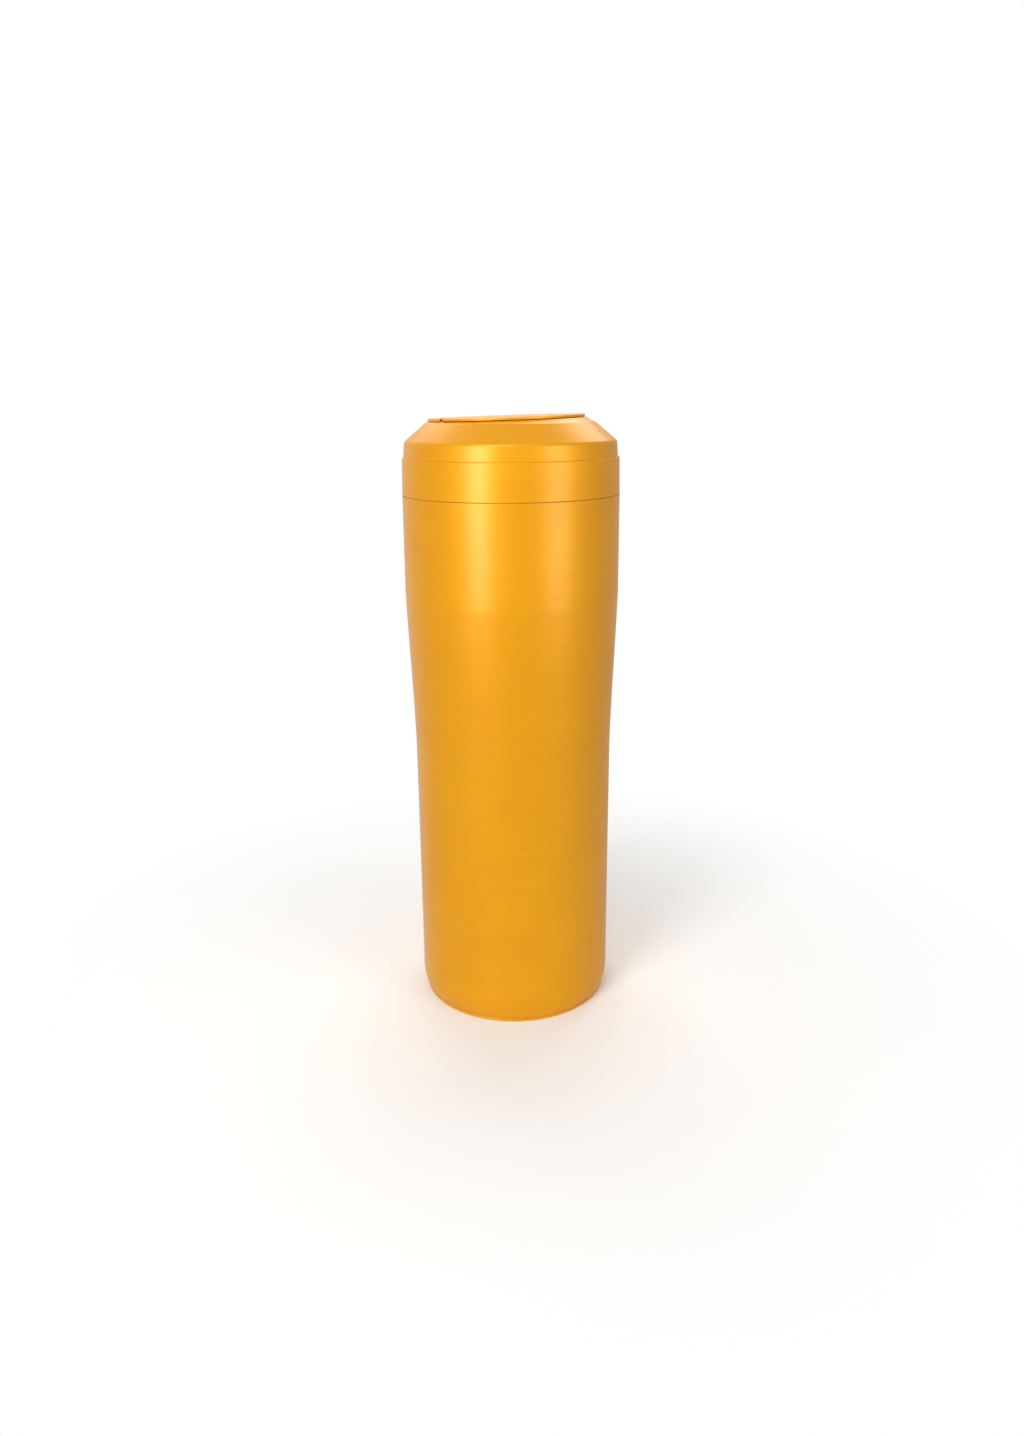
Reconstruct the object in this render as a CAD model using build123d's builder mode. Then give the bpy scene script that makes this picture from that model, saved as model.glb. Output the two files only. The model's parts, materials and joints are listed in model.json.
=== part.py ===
from build123d import *
import os
from math import atan2, cos, radians, sin

# Retractable bollard, key released and lifted by gas springs. The casing is buried to
# its crown, and the post slides up out of it. Millimetres, +Z up. The origin is on the
# post's axis at the underside of the base plate. The modelled rest pose is the lowered
# post, with its bolts drawn back.

# ---------------------------------------------------------------- clearances
SEAT = 0.1            # radial gap of a part seated in another one of the same body
RUN = 0.05            # radial gap of a running fit
LIFT_GAP = 0.4        # gap under a part that comes to rest on another body
PART_GAP = 0.5        # gap between faces that only pass each other
SUNK = 0.3            # how far a countersunk head lies under its face

# ---------------------------------------------------------------- post and guides
POST_R = 84.15
POST_WALL = 5.0
TRAVEL = 570.0
GUIDE_ROD_R = 8.0
GUIDE_GAP = 11.85     # from the post's skin to a guide rod's skin
GUIDE_BUSH_WALL = 4.0
GUIDE_ANGLES = (0.0, 120.0, 240.0)
CARRIAGE_T = 30.0
CARRIAGE_RIM = 1.0    # metal outside the guide bushes
CARRIAGE_SPIGOT_H = 26.0
CARRIAGE_SPIGOT_WALL = 16.0
CARRIAGE_SCREW_DEPTH = 9.0
ROD_TAP_DEPTH = 16.0
ROD_OVER_FLANGE = 3.0 # how far a guide rod runs on past the head frame's flange

GUIDE_R = POST_R + GUIDE_GAP + GUIDE_ROD_R
GUIDE_BUSH_R = GUIDE_ROD_R + RUN + GUIDE_BUSH_WALL
CARRIAGE_R = GUIDE_R + GUIDE_BUSH_R + CARRIAGE_RIM - RUN
POST_BORE_R = POST_R - POST_WALL

# ---------------------------------------------------------------- casing
KEEPER_GAP = 2.5      # from the carriage to the keeper rings
KEEPER_WALL = 6.6
KEEPER_H = 20.0
SHELL_WALL = 4.0
SWAGE_FLARE = 7.4     # how much wider the upper casing is than the lower one
SWAGE_L = 222.0
UPPER_BAND_H = 122.8
SHELL_LEAN = 0.5      # how much the upper band draws in towards its top edge
FOOT_TUCK = 4.6       # how much the rounded foot draws in
FOOT_ROUND_H = 34.0
FOOT_RIM_T = 4.0
BASE_T = 12.0
SHELL_FLANGE_T = 12.8
FOOT_FLANGE_T = 9.6
FLANGE_LIP = 1.0      # how far the top flange reaches inside the carriage's radius
HEADROOM = 54.8       # from the raised carriage to the shell's top edge
EDGE_R = 0.8
FOOT_MID = (0.27, 0.46)     # middle of the foot's curve, as shares of tuck and height
SWAGE_LOW = (0.15, 0.27)    # lower point of the swage, as shares of flare and length
SWAGE_HIGH = (0.61, 0.68)   # upper point of the swage
FRAME_SCREW_OUT = 5.0 # from the carriage's radius out to the head frame's screws
FOOT_SCREW_OUT = 5.0  # from the foot flange's bore out to its screws
SCREW_START = 30.0    # angle of the first of six casing screws

KEEPER_R = CARRIAGE_R + KEEPER_GAP
LOWER_R = KEEPER_R + KEEPER_WALL + SEAT + SHELL_WALL
UPPER_R = LOWER_R + SWAGE_FLARE
FOOT_R = LOWER_R - FOOT_TUCK
FLANGE_BORE_R = CARRIAGE_R - FLANGE_LIP
FOOT_BORE_R = GUIDE_R + GUIDE_ROD_R + PART_GAP
FRAME_SCREW_R = CARRIAGE_R + FRAME_SCREW_OUT
FOOT_SCREW_R = FOOT_BORE_R + FOOT_SCREW_OUT

# ---------------------------------------------------------------- levels, bottom to top
LOWER_BUFFER_H = 17.6
UPPER_BUFFER_H = 12.0
COLLAR_H = 10.0
COLLAR_SLIT = 1.5
GASKET_T = 1.0
GASKET_SET = 1.2      # how far the ring gasket lies back in its joint line
RING_LEDGE_T = 11.2
RING_H = 44.8
BAND_H = 19.0
CONE_H = 22.7
LID_OVER_CONE = 3.9   # lid's underside at its centre, above the cone's top edge

CARRIAGE_Z = BASE_T + LOWER_BUFFER_H + LIFT_GAP
POST_Z = CARRIAGE_Z + CARRIAGE_T
SHELL_TOP = POST_Z + TRAVEL + HEADROOM
RING_Z = SHELL_TOP + GASKET_T
FRAME_Z = RING_Z + RING_LEDGE_T
CROWN_Z = RING_Z + RING_H
SHOULDER_Z = CROWN_Z + BAND_H
CONE_TOP_Z = SHOULDER_Z + CONE_H

# ---------------------------------------------------------------- crown and head
RING_WALL = 5.1
RING_DRAW = 1.5       # how far the ring's top edge is inside the upper casing's radius
BAND_DRAW = 3.4
SHOULDER_DRAW = 4.8
SPIGOT_H = 14.6
SPIGOT_WALL = 3.7
CONE_WALL = 8.0       # the cone's metal, measured down from its outer face
SEAT_WALL = 16.0      # from the cone's bore in to the wiper's seat
LEDGE_GAP = 1.85      # from the post to the ledge over the wiper
NECK_ARC = (0.43, 2.7)      # the neck curve's middle: share of the flare, height
NECK_ARC_H = 6.3
BLANK_H = 12.0        # height left on the neck for its slanted cut
HEAD_OVERHANG = 4.85  # how far the head's flange stands out past the post
HEAD_GAP = 1.0
NECK_WALL = 4.0
NECK_FLARE = 11.6     # from the neck's top out to the cone's top edge
WIPER_WALL = 11.6
WIPER_H = 8.0
FRAME_H = 38.0
FRAME_FLANGE_T = 12.0
BUSH_WALL = 7.75
BUSH_H = 33.0
WELL_R = 70.0
HEAD_FLOOR_T = 14.0
HEAD_SPIGOT_H = 44.0
HEAD_BLANK_H = 40.0   # height left on the head for its slanted cut
HEAD_RISE = 2.4       # from the crown's shoulder up to the post's top edge
HEAD_SCREW_DROP = 22.0
HUB_WALL = 3.5
BUSH_LIP = 1.0
LIP_T = 2.5           # the wiper's lip and the step behind it

HEAD_R = POST_R + HEAD_OVERHANG
CROWN_BORE_R = HEAD_R + HEAD_GAP
NECK_R = CROWN_BORE_R + NECK_WALL
CONE_TOP_R = NECK_R + NECK_FLARE
RING_BORE_R = UPPER_R - SHELL_LEAN - RING_WALL
SPIGOT_R = RING_BORE_R - SEAT
FRAME_R = SPIGOT_R - SPIGOT_WALL - 2 * SEAT - PART_GAP
BUSH_R = POST_R + SEAT + BUSH_WALL
POST_TOP = SHOULDER_Z + HEAD_RISE
HEAD_Z = POST_TOP - HEAD_SPIGOT_H
FLOOR_Z = HEAD_Z + HEAD_FLOOR_T
HEAD_SCREW_Z = POST_TOP - HEAD_SCREW_DROP
CARRIAGE_SCREW_Z = POST_Z + CARRIAGE_SPIGOT_H / 2

# ---------------------------------------------------------------- lid and its hinge
LID_R = NECK_R + 3.75
LID_X = -5.05         # the lid's centre is off the axis, towards its hinge
LID_T = 3.1
LID_TILT = 1.35       # cross fall, in degrees
RIM_GAP = 0.7         # from the crown's slanted rim to the lid
SEAL_T = 2.3
SEAL_INSET = 2.5      # how far the seal lies inside the head's rim
LID_GAP = 0.3
HINGE_U = -76.0       # hinge line, measured along the lid from its centre
KNUCKLE_R = 2.1
KNUCKLE_T = LID_T - KNUCKLE_R
HINGE_PIN_R = 1.1
LEAF_SETBACK = 3.0
LID_KNUCKLE_HALF = 12.0
LEAF_KNUCKLE_HALF = 28.0
TONGUE_HALF = 28.0
TONGUE_END = -66.5
TONGUE_BACK = 3.5     # how far the tongue runs back under the leaf
LEAF_SCREW_IN = 4.6
LEAF_SCREW_Y = 20.0
LEAF_HEAD_R = 3.6     # head of the leaf's countersunk M4 screws
LID_Z = CONE_TOP_Z + LID_OVER_CONE

# ---------------------------------------------------------------- lid latch
LATCH_U = 61.0
LATCH_R = 9.0
LATCH_SLEEVE_WALL = 3.0
LATCH_DEPTH = 10.0
LATCH_CAM_T = 3.5
LATCH_REACH = 22.0
LATCH_CAM_HALF = 5.0
LATCH_ROOM = 1.0      # room over and under the latch cam in the head's groove
LATCH_KEY_DEPTH = 7.0

# ---------------------------------------------------------------- lock and bolts
BOLT_R = 8.0
BOLT_THROW = 7.5
BOLT_TAIL = 7.0
CAM_TURN = 60.0
CAM_R = 25.5
CAM_T = 5.0
CAM_GAP = 1.2         # between the bolts and the cam disc
CAM_POCKET_R = 27.5
FOLLOWER_R = 3.0
FOLLOWER_START = 12.0
SHAFT_R = 5.5
CAM_HUB_R = 10.0
CAM_HUB_H = 13.0
PLUG_R = 12.0
PLUG_H = 18.0
HOUSING_WALL = 3.5
HOUSING_FLANGE_R = 24.0
HOUSING_FLOOR_T = 2.0
HOUSING_FLANGE_T = 5.0
KEY_R = 5.0           # corner radius of the three-sided key peg
KEY_WALL = 2.5        # metal around the key's recess
KEY_DEPTH = 9.0
SHAFT_SOCKET = 6.0    # how far the shaft enters the key plug
HOUSING_SCREW_OUT = 4.2

BOLT_Z = CARRIAGE_Z + CARRIAGE_T / 2
CAM_Z = BOLT_Z + BOLT_R + CAM_GAP

# ---------------------------------------------------------------- gas springs
GAS_X = 46.0
GAS_R = 14.0
GAS_BORE_R = 12.5
GAS_ROD_R = 7.0
GAS_STUD_R = 5.0
STUD_L = 10.0         # rod's stud in the head's floor
GAS_GLAND_H = 18.0
PISTON_H = 14.0
PISTON_START = 34.0
PISTON_CLEAR = 4.0    # room over the piston when the post is up
GAS_FLOOR_T = 10.0
GAS_PORT = 1.0        # room around a gas cylinder where the carriage passes it
GAS_TOP = PISTON_START + PISTON_H + TRAVEL + PISTON_CLEAR + GAS_GLAND_H

# ---------------------------------------------------------------- handle
HANDLE_R = 4.5
HANDLE_HALF = 36.0
HANDLE_LEG = 34.0
HANDLE_BEND = 10.0
HANDLE_PIVOT_BEND = 5.0
HANDLE_LIFT = 6.0     # pivot's height above the well's floor
LUG_T = 9.0
LUG_SCREW_Y = 12.0
LUG_FOOT = (34.0, 4.0)
LUG_EYE_R = 7.5
LUG_X = HANDLE_HALF + HANDLE_PIVOT_BEND + 2.0

# ---------------------------------------------------------------- fasteners and drain
M4_R = 2.0
HEAD4_R = 3.5         # head of an M4 cap screw
HEAD4_H = 4.0
M6_R = 3.0
HEAD6_R = 5.5         # head of a countersunk M6 screw
CAP6_R = 5.0          # head of an M6 cap screw
CAP6_H = 6.0
TAP_DEPTH = 8.0       # tapped holes in the head
THREAD = 0.05         # radial gap of a screw in its tapped hole
ANCHOR_R = 5.1
ANCHOR_PCD = 150.0
ANCHOR_DEPTH = 9.0
DRAIN_R = 12.1
DRAIN_WALL = 4.9
DRAIN_FLANGE_R = 24.0
DRAIN_FLANGE_T = 4.0
STRAINER_H = 9.0
STRAINER_CAP_T = 2.0
STRAINER_HOLE_R = 1.8
BAND_T = 0.45         # reflective tape
BAND_L = 55.0
BAND_SPACING = 110.0
BAND_TOP = 60.0       # from the post's top edge down to the first band

TILT = radians(LID_TILT)
LID_PLANE = Plane(
    origin=(LID_X, 0, LID_Z),
    x_dir=(cos(TILT), 0, sin(TILT)),
    z_dir=(-sin(TILT), 0, cos(TILT)),
)
BOTTOM = (Align.CENTER, Align.CENTER, Align.MIN)
TOP = (Align.CENTER, Align.CENTER, Align.MAX)
UPSIDE_DOWN = Location((0, 0, 0), (180, 0, 0))


def save(builder, name):
    """Label a finished sub-part and write its STEP file."""
    builder.part.label = name
    export_step(builder.part, f"parts/{name}.step")


def polar(radius, count, start=0.0, z=0.0, turn=0.0):
    """Locations evenly spaced on a circle; a turn of 180 points them downwards."""
    angles = [radians(start + 360.0 * i / count) for i in range(count)]
    return [Location((radius * cos(a), radius * sin(a), z), (turn, 0, 0)) for a in angles]


def radial(radius, count, start, z):
    """Locations on a cylinder that point outwards from its axis."""
    found = []
    for i in range(count):
        a = radians(start + 360.0 * i / count)
        out = (cos(a), sin(a), 0)
        found.append(Plane((radius * out[0], radius * out[1], z), z_dir=out).location)
    return found


def guides(z=0.0):
    """Locations of the three guide rods at one level."""
    return polar(GUIDE_R, len(GUIDE_ANGLES), GUIDE_ANGLES[0], z)


def on_lid(u, y, t):
    """A location on the lid's plane: u along it, t above its underside."""
    return LID_PLANE.offset(t).location * Location((u, y, 0))


def tube(radius, bore, height, z):
    """A plain ring around the axis."""
    with BuildPart() as ring:
        with BuildSketch(Plane.XY.offset(z)):
            Circle(radius)
            Circle(bore, mode=Mode.SUBTRACT)
        extrude(amount=height)
    return ring


def cap_screw(shank_r, length, head_r, head_h):
    """A socket head cap screw, its head standing on z = 0 and its shank below."""
    with BuildPart() as screw:
        Cylinder(head_r, head_h, align=BOTTOM)
        Cylinder(shank_r, length, align=TOP)
        with BuildSketch(Plane.XY.offset(head_h)):
            RegularPolygon(shank_r * 0.9, 6)
        extrude(amount=-head_h * 0.6, mode=Mode.SUBTRACT)
    return screw.part


def countersunk_screw(shank_r, length, head_r):
    """A countersunk screw, its flat head flush with z = 0."""
    with BuildPart() as screw:
        Cone(shank_r, head_r, head_r - shank_r, align=TOP)
        Cylinder(shank_r, length, align=TOP)
        with BuildSketch():
            RegularPolygon(shank_r * 0.6, 6)
        extrude(amount=-shank_r * 0.8, mode=Mode.SUBTRACT)
    return screw.part


def group(solid, places):
    """Copies of one solid, kept together as one node."""
    with BuildPart() as copies:
        with Locations(*places):
            add(solid)
    return copies


# ================================================================ casing
def shell_side(inset):
    """Points of the casing's side from foot to top edge, moved in by an inset."""
    swage_end = SHELL_TOP - UPPER_BAND_H
    swage_start = swage_end - SWAGE_L
    return {
        "foot": (FOOT_R - inset, FOOT_RIM_T + LIFT_GAP),
        "foot_mid": (LOWER_R - FOOT_TUCK * FOOT_MID[0] - inset, FOOT_ROUND_H * FOOT_MID[1]),
        "foot_end": (LOWER_R - inset, FOOT_ROUND_H),
        "swage_start": (LOWER_R - inset, swage_start),
        "swage_low": (
            LOWER_R + SWAGE_FLARE * SWAGE_LOW[0] - inset, swage_start + SWAGE_L * SWAGE_LOW[1]
        ),
        "swage_high": (
            LOWER_R + SWAGE_FLARE * SWAGE_HIGH[0] - inset, swage_start + SWAGE_L * SWAGE_HIGH[1]
        ),
        "swage_end": (UPPER_R - inset, swage_end),
        "top": (UPPER_R - SHELL_LEAN - inset, SHELL_TOP),
    }


def draw_side(side):
    """Draw one side of the shell: rounded foot, tube, swage and upper band."""
    ThreePointArc(side["foot"], side["foot_mid"], side["foot_end"])
    Line(side["foot_end"], side["swage_start"])
    Spline(
        side["swage_start"], side["swage_low"], side["swage_high"], side["swage_end"],
        tangents=((0, 1), (0.02, 1)),
    )
    Line(side["swage_end"], side["top"])


def make_casing_shell():
    outer = shell_side(0.0)
    inner = shell_side(SHELL_WALL)
    with BuildPart() as casing_shell:
        with BuildSketch(Plane.XZ):
            with BuildLine():
                draw_side(outer)
                draw_side(inner)
                Line(outer["foot"], inner["foot"])
                Line(outer["top"], inner["top"])
            make_face()
        revolve(axis=Axis.Z)
        with BuildSketch(Plane.XY.offset(SHELL_TOP)):
            Circle(UPPER_R - SHELL_LEAN - SHELL_WALL / 2)
            Circle(FLANGE_BORE_R, mode=Mode.SUBTRACT)
        extrude(amount=-SHELL_FLANGE_T)
        with BuildSketch(Plane.XY.offset(BASE_T + LIFT_GAP)):
            Circle(FOOT_R)
            Circle(FOOT_BORE_R, mode=Mode.SUBTRACT)
            with Locations(*guides()):
                Circle(GUIDE_BUSH_R + PART_GAP, mode=Mode.SUBTRACT)
        extrude(amount=FOOT_FLANGE_T)
        with Locations(*polar(FRAME_SCREW_R, 6, SCREW_START, SHELL_TOP)):
            Hole(M6_R + THREAD, SHELL_FLANGE_T)
        with Locations(*polar(FOOT_SCREW_R, 6, SCREW_START, BASE_T + LIFT_GAP, 180)):
            Hole(M6_R + THREAD, FOOT_FLANGE_T)
    save(casing_shell, "casing_shell")


def make_base_plate():
    spigot_r = FOOT_R - SHELL_WALL - PART_GAP
    with BuildPart() as base_plate:
        Cylinder(FOOT_R, FOOT_RIM_T, align=BOTTOM)
        fillet(base_plate.edges().filter_by(GeomType.CIRCLE), EDGE_R)
        Cylinder(spigot_r, BASE_T, align=BOTTOM)
        with Locations(*guides(BASE_T)):
            Hole(GUIDE_ROD_R + RUN, BASE_T / 2)
        with Locations(*polar(GUIDE_R, 3, GUIDE_ANGLES[0], 0, 180)):
            CounterSinkHole(M6_R + SEAT, HEAD6_R + PART_GAP, BASE_T)
        with Locations(*polar(FOOT_SCREW_R, 6, SCREW_START, 0, 180)):
            CounterSinkHole(M6_R + SEAT, HEAD6_R + PART_GAP, BASE_T)
        with Locations(*polar(ANCHOR_PCD / 2, 4, 45, 0, 180)):
            Hole(ANCHOR_R, ANCHOR_DEPTH)
        with Locations((GAS_X, 0, BASE_T), (-GAS_X, 0, BASE_T)):
            Hole(GAS_STUD_R + SEAT, BASE_T - FOOT_RIM_T)
        with Locations((0, 0, BASE_T)):
            Hole(DRAIN_R + DRAIN_WALL + THREAD, BASE_T)
    save(base_plate, "base_plate")


def make_base_screws():
    length = BASE_T + LIFT_GAP + FOOT_FLANGE_T - 1.0
    screw = countersunk_screw(M6_R, length, HEAD6_R)
    save(group(screw, polar(FOOT_SCREW_R, 6, SCREW_START, SUNK, 180)), "base_screws")


def make_drain_fitting():
    with BuildPart() as drain_fitting:
        Cylinder(DRAIN_R + DRAIN_WALL, BASE_T, align=BOTTOM)
        with Locations((0, 0, BASE_T)):
            Cylinder(DRAIN_FLANGE_R, DRAIN_FLANGE_T, align=BOTTOM)
        Hole(DRAIN_R, BASE_T + DRAIN_FLANGE_T)
        fillet(drain_fitting.edges().filter_by(GeomType.CIRCLE).sort_by(Axis.Z)[-2:], EDGE_R)
    save(drain_fitting, "drain_fitting")


def make_drain_strainer():
    z = BASE_T + DRAIN_FLANGE_T
    with BuildPart() as drain_strainer:
        with Locations((0, 0, z)):
            Cylinder(DRAIN_R + DRAIN_WALL, STRAINER_H, align=BOTTOM)
        with Locations((0, 0, z)):
            Cylinder(DRAIN_R + 1, STRAINER_H - STRAINER_CAP_T, align=BOTTOM, mode=Mode.SUBTRACT)
        with Locations(*radial(DRAIN_R + DRAIN_WALL, 8, 0, z + (STRAINER_H - STRAINER_CAP_T) / 2)):
            Hole(STRAINER_HOLE_R, 2 * DRAIN_WALL)
    save(drain_strainer, "drain_strainer")


def make_guide_rods():
    bottom = BASE_T / 2
    top = FRAME_Z + FRAME_FLANGE_T + ROD_OVER_FLANGE
    for i, place in enumerate(guides(bottom)):
        with BuildPart() as guide_rod:
            with Locations(place):
                Cylinder(GUIDE_ROD_R, top - bottom, align=BOTTOM)
            chamfer(guide_rod.edges().filter_by(GeomType.CIRCLE), EDGE_R)
            with Locations(place * UPSIDE_DOWN):
                Hole(M6_R + THREAD, ROD_TAP_DEPTH)
        save(guide_rod, f"guide_rod_{i + 1}")


def make_rod_screws():
    screw = countersunk_screw(M6_R, BASE_T / 2 + ROD_TAP_DEPTH - 2.0, HEAD6_R)
    save(group(screw, polar(GUIDE_R, 3, GUIDE_ANGLES[0], SUNK, 180)), "rod_screws")


def make_buffers_and_collars():
    ring = tube(GUIDE_BUSH_R, GUIDE_ROD_R + SEAT, LOWER_BUFFER_H, BASE_T).part
    places = [Location(place.position) for place in guides()]
    save(group(ring, places), "lower_buffers")
    z = POST_Z + TRAVEL + LIFT_GAP
    ring = tube(GUIDE_BUSH_R, GUIDE_ROD_R + SEAT, UPPER_BUFFER_H, z).part
    save(group(ring, places), "upper_buffers")
    z += UPPER_BUFFER_H
    with BuildPart() as collar:
        with BuildSketch(Plane.XY.offset(z)):
            Circle(GUIDE_BUSH_R)
            Circle(GUIDE_ROD_R + THREAD, mode=Mode.SUBTRACT)
            with Locations((GUIDE_BUSH_R, 0)):
                Rectangle(2 * GUIDE_BUSH_WALL + 1.0, COLLAR_SLIT, mode=Mode.SUBTRACT)
        extrude(amount=COLLAR_H)
    save(group(collar.part, places), "rod_collars")


def keeper(radius, bolt_z):
    """A keeper ring, with a socket at the front and one at the back for the bolts."""
    with BuildPart() as ring:
        with BuildSketch(Plane.XY.offset(bolt_z - KEEPER_H / 2)):
            Circle(radius)
            Circle(KEEPER_R, mode=Mode.SUBTRACT)
        extrude(amount=KEEPER_H)
        with BuildSketch(Plane.XZ):
            with Locations((0, bolt_z)):
                Circle(BOLT_R + PART_GAP)
        extrude(amount=radius, both=True, mode=Mode.SUBTRACT)
    return ring


def make_keepers():
    save(keeper(LOWER_R - SHELL_WALL - SEAT, BOLT_Z), "lower_keeper")
    save(keeper(UPPER_R - SHELL_LEAN - SHELL_WALL - SEAT, BOLT_Z + TRAVEL), "upper_keeper")


def make_ring_gasket():
    with BuildPart() as ring_gasket:
        with BuildSketch(Plane.XY.offset(SHELL_TOP)):
            Circle(UPPER_R - SHELL_LEAN - GASKET_SET)
            Circle(FLANGE_BORE_R, mode=Mode.SUBTRACT)
            with Locations(*polar(FRAME_SCREW_R, 6, SCREW_START)):
                Circle(M6_R + SEAT, mode=Mode.SUBTRACT)
        extrude(amount=GASKET_T)
    save(ring_gasket, "ring_gasket")


def make_casing_ring():
    low_r = UPPER_R - SHELL_LEAN
    high_r = UPPER_R - RING_DRAW
    with BuildPart() as casing_ring:
        with BuildSketch(Plane.XZ) as section:
            with BuildLine():
                Polyline(
                    (FLANGE_BORE_R, RING_Z), (low_r, RING_Z), (high_r, CROWN_Z),
                    (RING_BORE_R, CROWN_Z), (RING_BORE_R, FRAME_Z), (FLANGE_BORE_R, FRAME_Z),
                    close=True,
                )
            make_face()
            corners = section.vertices().sort_by(Axis.X)[-2:]
            fillet(corners, EDGE_R)
        revolve(axis=Axis.Z)
        with Locations(*polar(FRAME_SCREW_R, 6, SCREW_START, FRAME_Z)):
            Hole(M6_R + SEAT, RING_LEDGE_T)
    save(casing_ring, "casing_ring")


def make_crown():
    spigot_z = CROWN_Z - SPIGOT_H
    bore = SPIGOT_R - SPIGOT_WALL
    band_r = UPPER_R - BAND_DRAW
    shoulder_r = UPPER_R - SHOULDER_DRAW
    seat_r = POST_R + WIPER_WALL + 2 * SEAT + LID_GAP
    seat_z = FRAME_Z + FRAME_H + LIFT_GAP
    ledge_z = seat_z + WIPER_H + 2 * LID_GAP
    ledge_top = POST_TOP - LIFT_GAP
    blank_top = CONE_TOP_Z + BLANK_H
    neck_z = CONE_TOP_Z + NECK_ARC_H
    with BuildPart() as crown:
        with BuildSketch(Plane.XZ) as section:
            with BuildLine():
                Polyline(
                    (CONE_TOP_R, CONE_TOP_Z), (shoulder_r, SHOULDER_Z), (band_r, CROWN_Z),
                    (SPIGOT_R, CROWN_Z), (SPIGOT_R, spigot_z), (bore, spigot_z),
                    (bore, SHOULDER_Z - CONE_WALL),
                    (bore - SEAT_WALL, SHOULDER_Z - CONE_WALL + SEAT_WALL),
                    (bore - SEAT_WALL, seat_z), (seat_r, seat_z), (seat_r, ledge_z),
                    (POST_R + LEDGE_GAP, ledge_z), (POST_R + LEDGE_GAP, ledge_top),
                    (CROWN_BORE_R, ledge_top), (CROWN_BORE_R, blank_top),
                    (NECK_R, blank_top), (NECK_R, neck_z),
                )
                ThreePointArc(
                    (NECK_R, neck_z),
                    (NECK_R + NECK_FLARE * NECK_ARC[0], CONE_TOP_Z + NECK_ARC[1]),
                    (CONE_TOP_R, CONE_TOP_Z),
                )
            make_face()
            shoulder = section.vertices().sort_by_distance((shoulder_r, SHOULDER_Z))[:1]
            fillet(shoulder, 2 * EDGE_R)
            step = section.vertices().sort_by_distance((band_r, CROWN_Z))[:1]
            fillet(step, EDGE_R)
        revolve(axis=Axis.Z)
        split(bisect_by=LID_PLANE.offset(-RIM_GAP), keep=Keep.BOTTOM)
    save(crown, "crown")


def make_head_frame():
    top = FRAME_Z + FRAME_H
    hub_r = GUIDE_R + GUIDE_ROD_R + HUB_WALL
    with BuildPart() as head_frame:
        with BuildSketch(Plane.XY.offset(FRAME_Z)):
            Circle(FRAME_R)
        extrude(amount=FRAME_FLANGE_T)
        with BuildSketch(Plane.XY.offset(FRAME_Z)):
            Circle(hub_r)
        extrude(amount=FRAME_H)
        with Locations((0, 0, top)):
            Hole(BUSH_R + SEAT, BUSH_H + 2 * BUSH_LIP)
            Hole(POST_R + LEDGE_GAP + BUSH_LIP, FRAME_H)
        with Locations(*guides(FRAME_Z)):
            Cylinder(
                GUIDE_ROD_R + RUN, FRAME_FLANGE_T + ROD_OVER_FLANGE + LIFT_GAP,
                align=BOTTOM, mode=Mode.SUBTRACT,
            )
        with Locations(*polar(FRAME_SCREW_R, 6, SCREW_START, FRAME_Z + FRAME_FLANGE_T)):
            Hole(M6_R + SEAT, FRAME_FLANGE_T)
    save(head_frame, "head_frame")


def make_frame_screws():
    length = FRAME_FLANGE_T + RING_LEDGE_T + GASKET_T + SHELL_FLANGE_T - 2.0
    screw = cap_screw(M6_R, length, CAP6_R, CAP6_H)
    save(group(screw, polar(FRAME_SCREW_R, 6, SCREW_START, FRAME_Z + FRAME_FLANGE_T)), "frame_screws")


def make_upper_bush():
    z = FRAME_Z + FRAME_H - BUSH_H - BUSH_LIP
    save(tube(BUSH_R, POST_R + SEAT, BUSH_H, z), "upper_bush")


def make_wiper_seal():
    z = FRAME_Z + FRAME_H + LIFT_GAP + LID_GAP
    lip = POST_R + LID_GAP
    outer = POST_R + LID_GAP + WIPER_WALL
    with BuildPart() as wiper_seal:
        with BuildSketch(Plane.XZ):
            with BuildLine():
                Polyline(
                    (outer, z), (outer, z + WIPER_H), (lip + LIP_T, z + WIPER_H),
                    (lip, z + WIPER_H - LIP_T), (lip + LIP_T, z + LIP_T), (lip + LIP_T, z),
                    close=True,
                )
            make_face()
        revolve(axis=Axis.Z)
    save(wiper_seal, "wiper_seal")


def make_gas_springs():
    for side, x in (("left", -GAS_X), ("right", GAS_X)):
        with BuildPart() as gas_cylinder:
            with Locations((x, 0, BASE_T)):
                Cylinder(GAS_R, GAS_TOP - BASE_T, align=BOTTOM)
                Cylinder(GAS_STUD_R, BASE_T - FOOT_RIM_T - 2 * PART_GAP, align=TOP)
            with Locations((x, 0, GAS_TOP)):
                Hole(GAS_BORE_R, GAS_TOP - BASE_T - GAS_FLOOR_T)
        save(gas_cylinder, f"gas_cylinder_{side}")
        with BuildPart() as gas_gland:
            with Locations((x, 0, GAS_TOP - GAS_GLAND_H)):
                Cylinder(GAS_BORE_R - RUN, GAS_GLAND_H, align=BOTTOM)
            with Locations((x, 0, GAS_TOP)):
                Hole(GAS_ROD_R + RUN, GAS_GLAND_H)
        save(gas_gland, f"gas_gland_{side}")
        with BuildPart() as gas_rod:
            with Locations((x, 0, PISTON_START)):
                Cylinder(GAS_BORE_R - RUN, PISTON_H, align=BOTTOM)
                Cylinder(GAS_ROD_R, HEAD_Z - PISTON_START, align=BOTTOM)
            with Locations((x, 0, HEAD_Z)):
                Cylinder(GAS_STUD_R, STUD_L, align=BOTTOM)
        save(gas_rod, f"gas_rod_{side}")


# ================================================================ post
def band_levels():
    """Lower edges of the two reflective bands."""
    first = POST_TOP - BAND_TOP - BAND_L
    return (first, first - BAND_SPACING)


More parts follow.
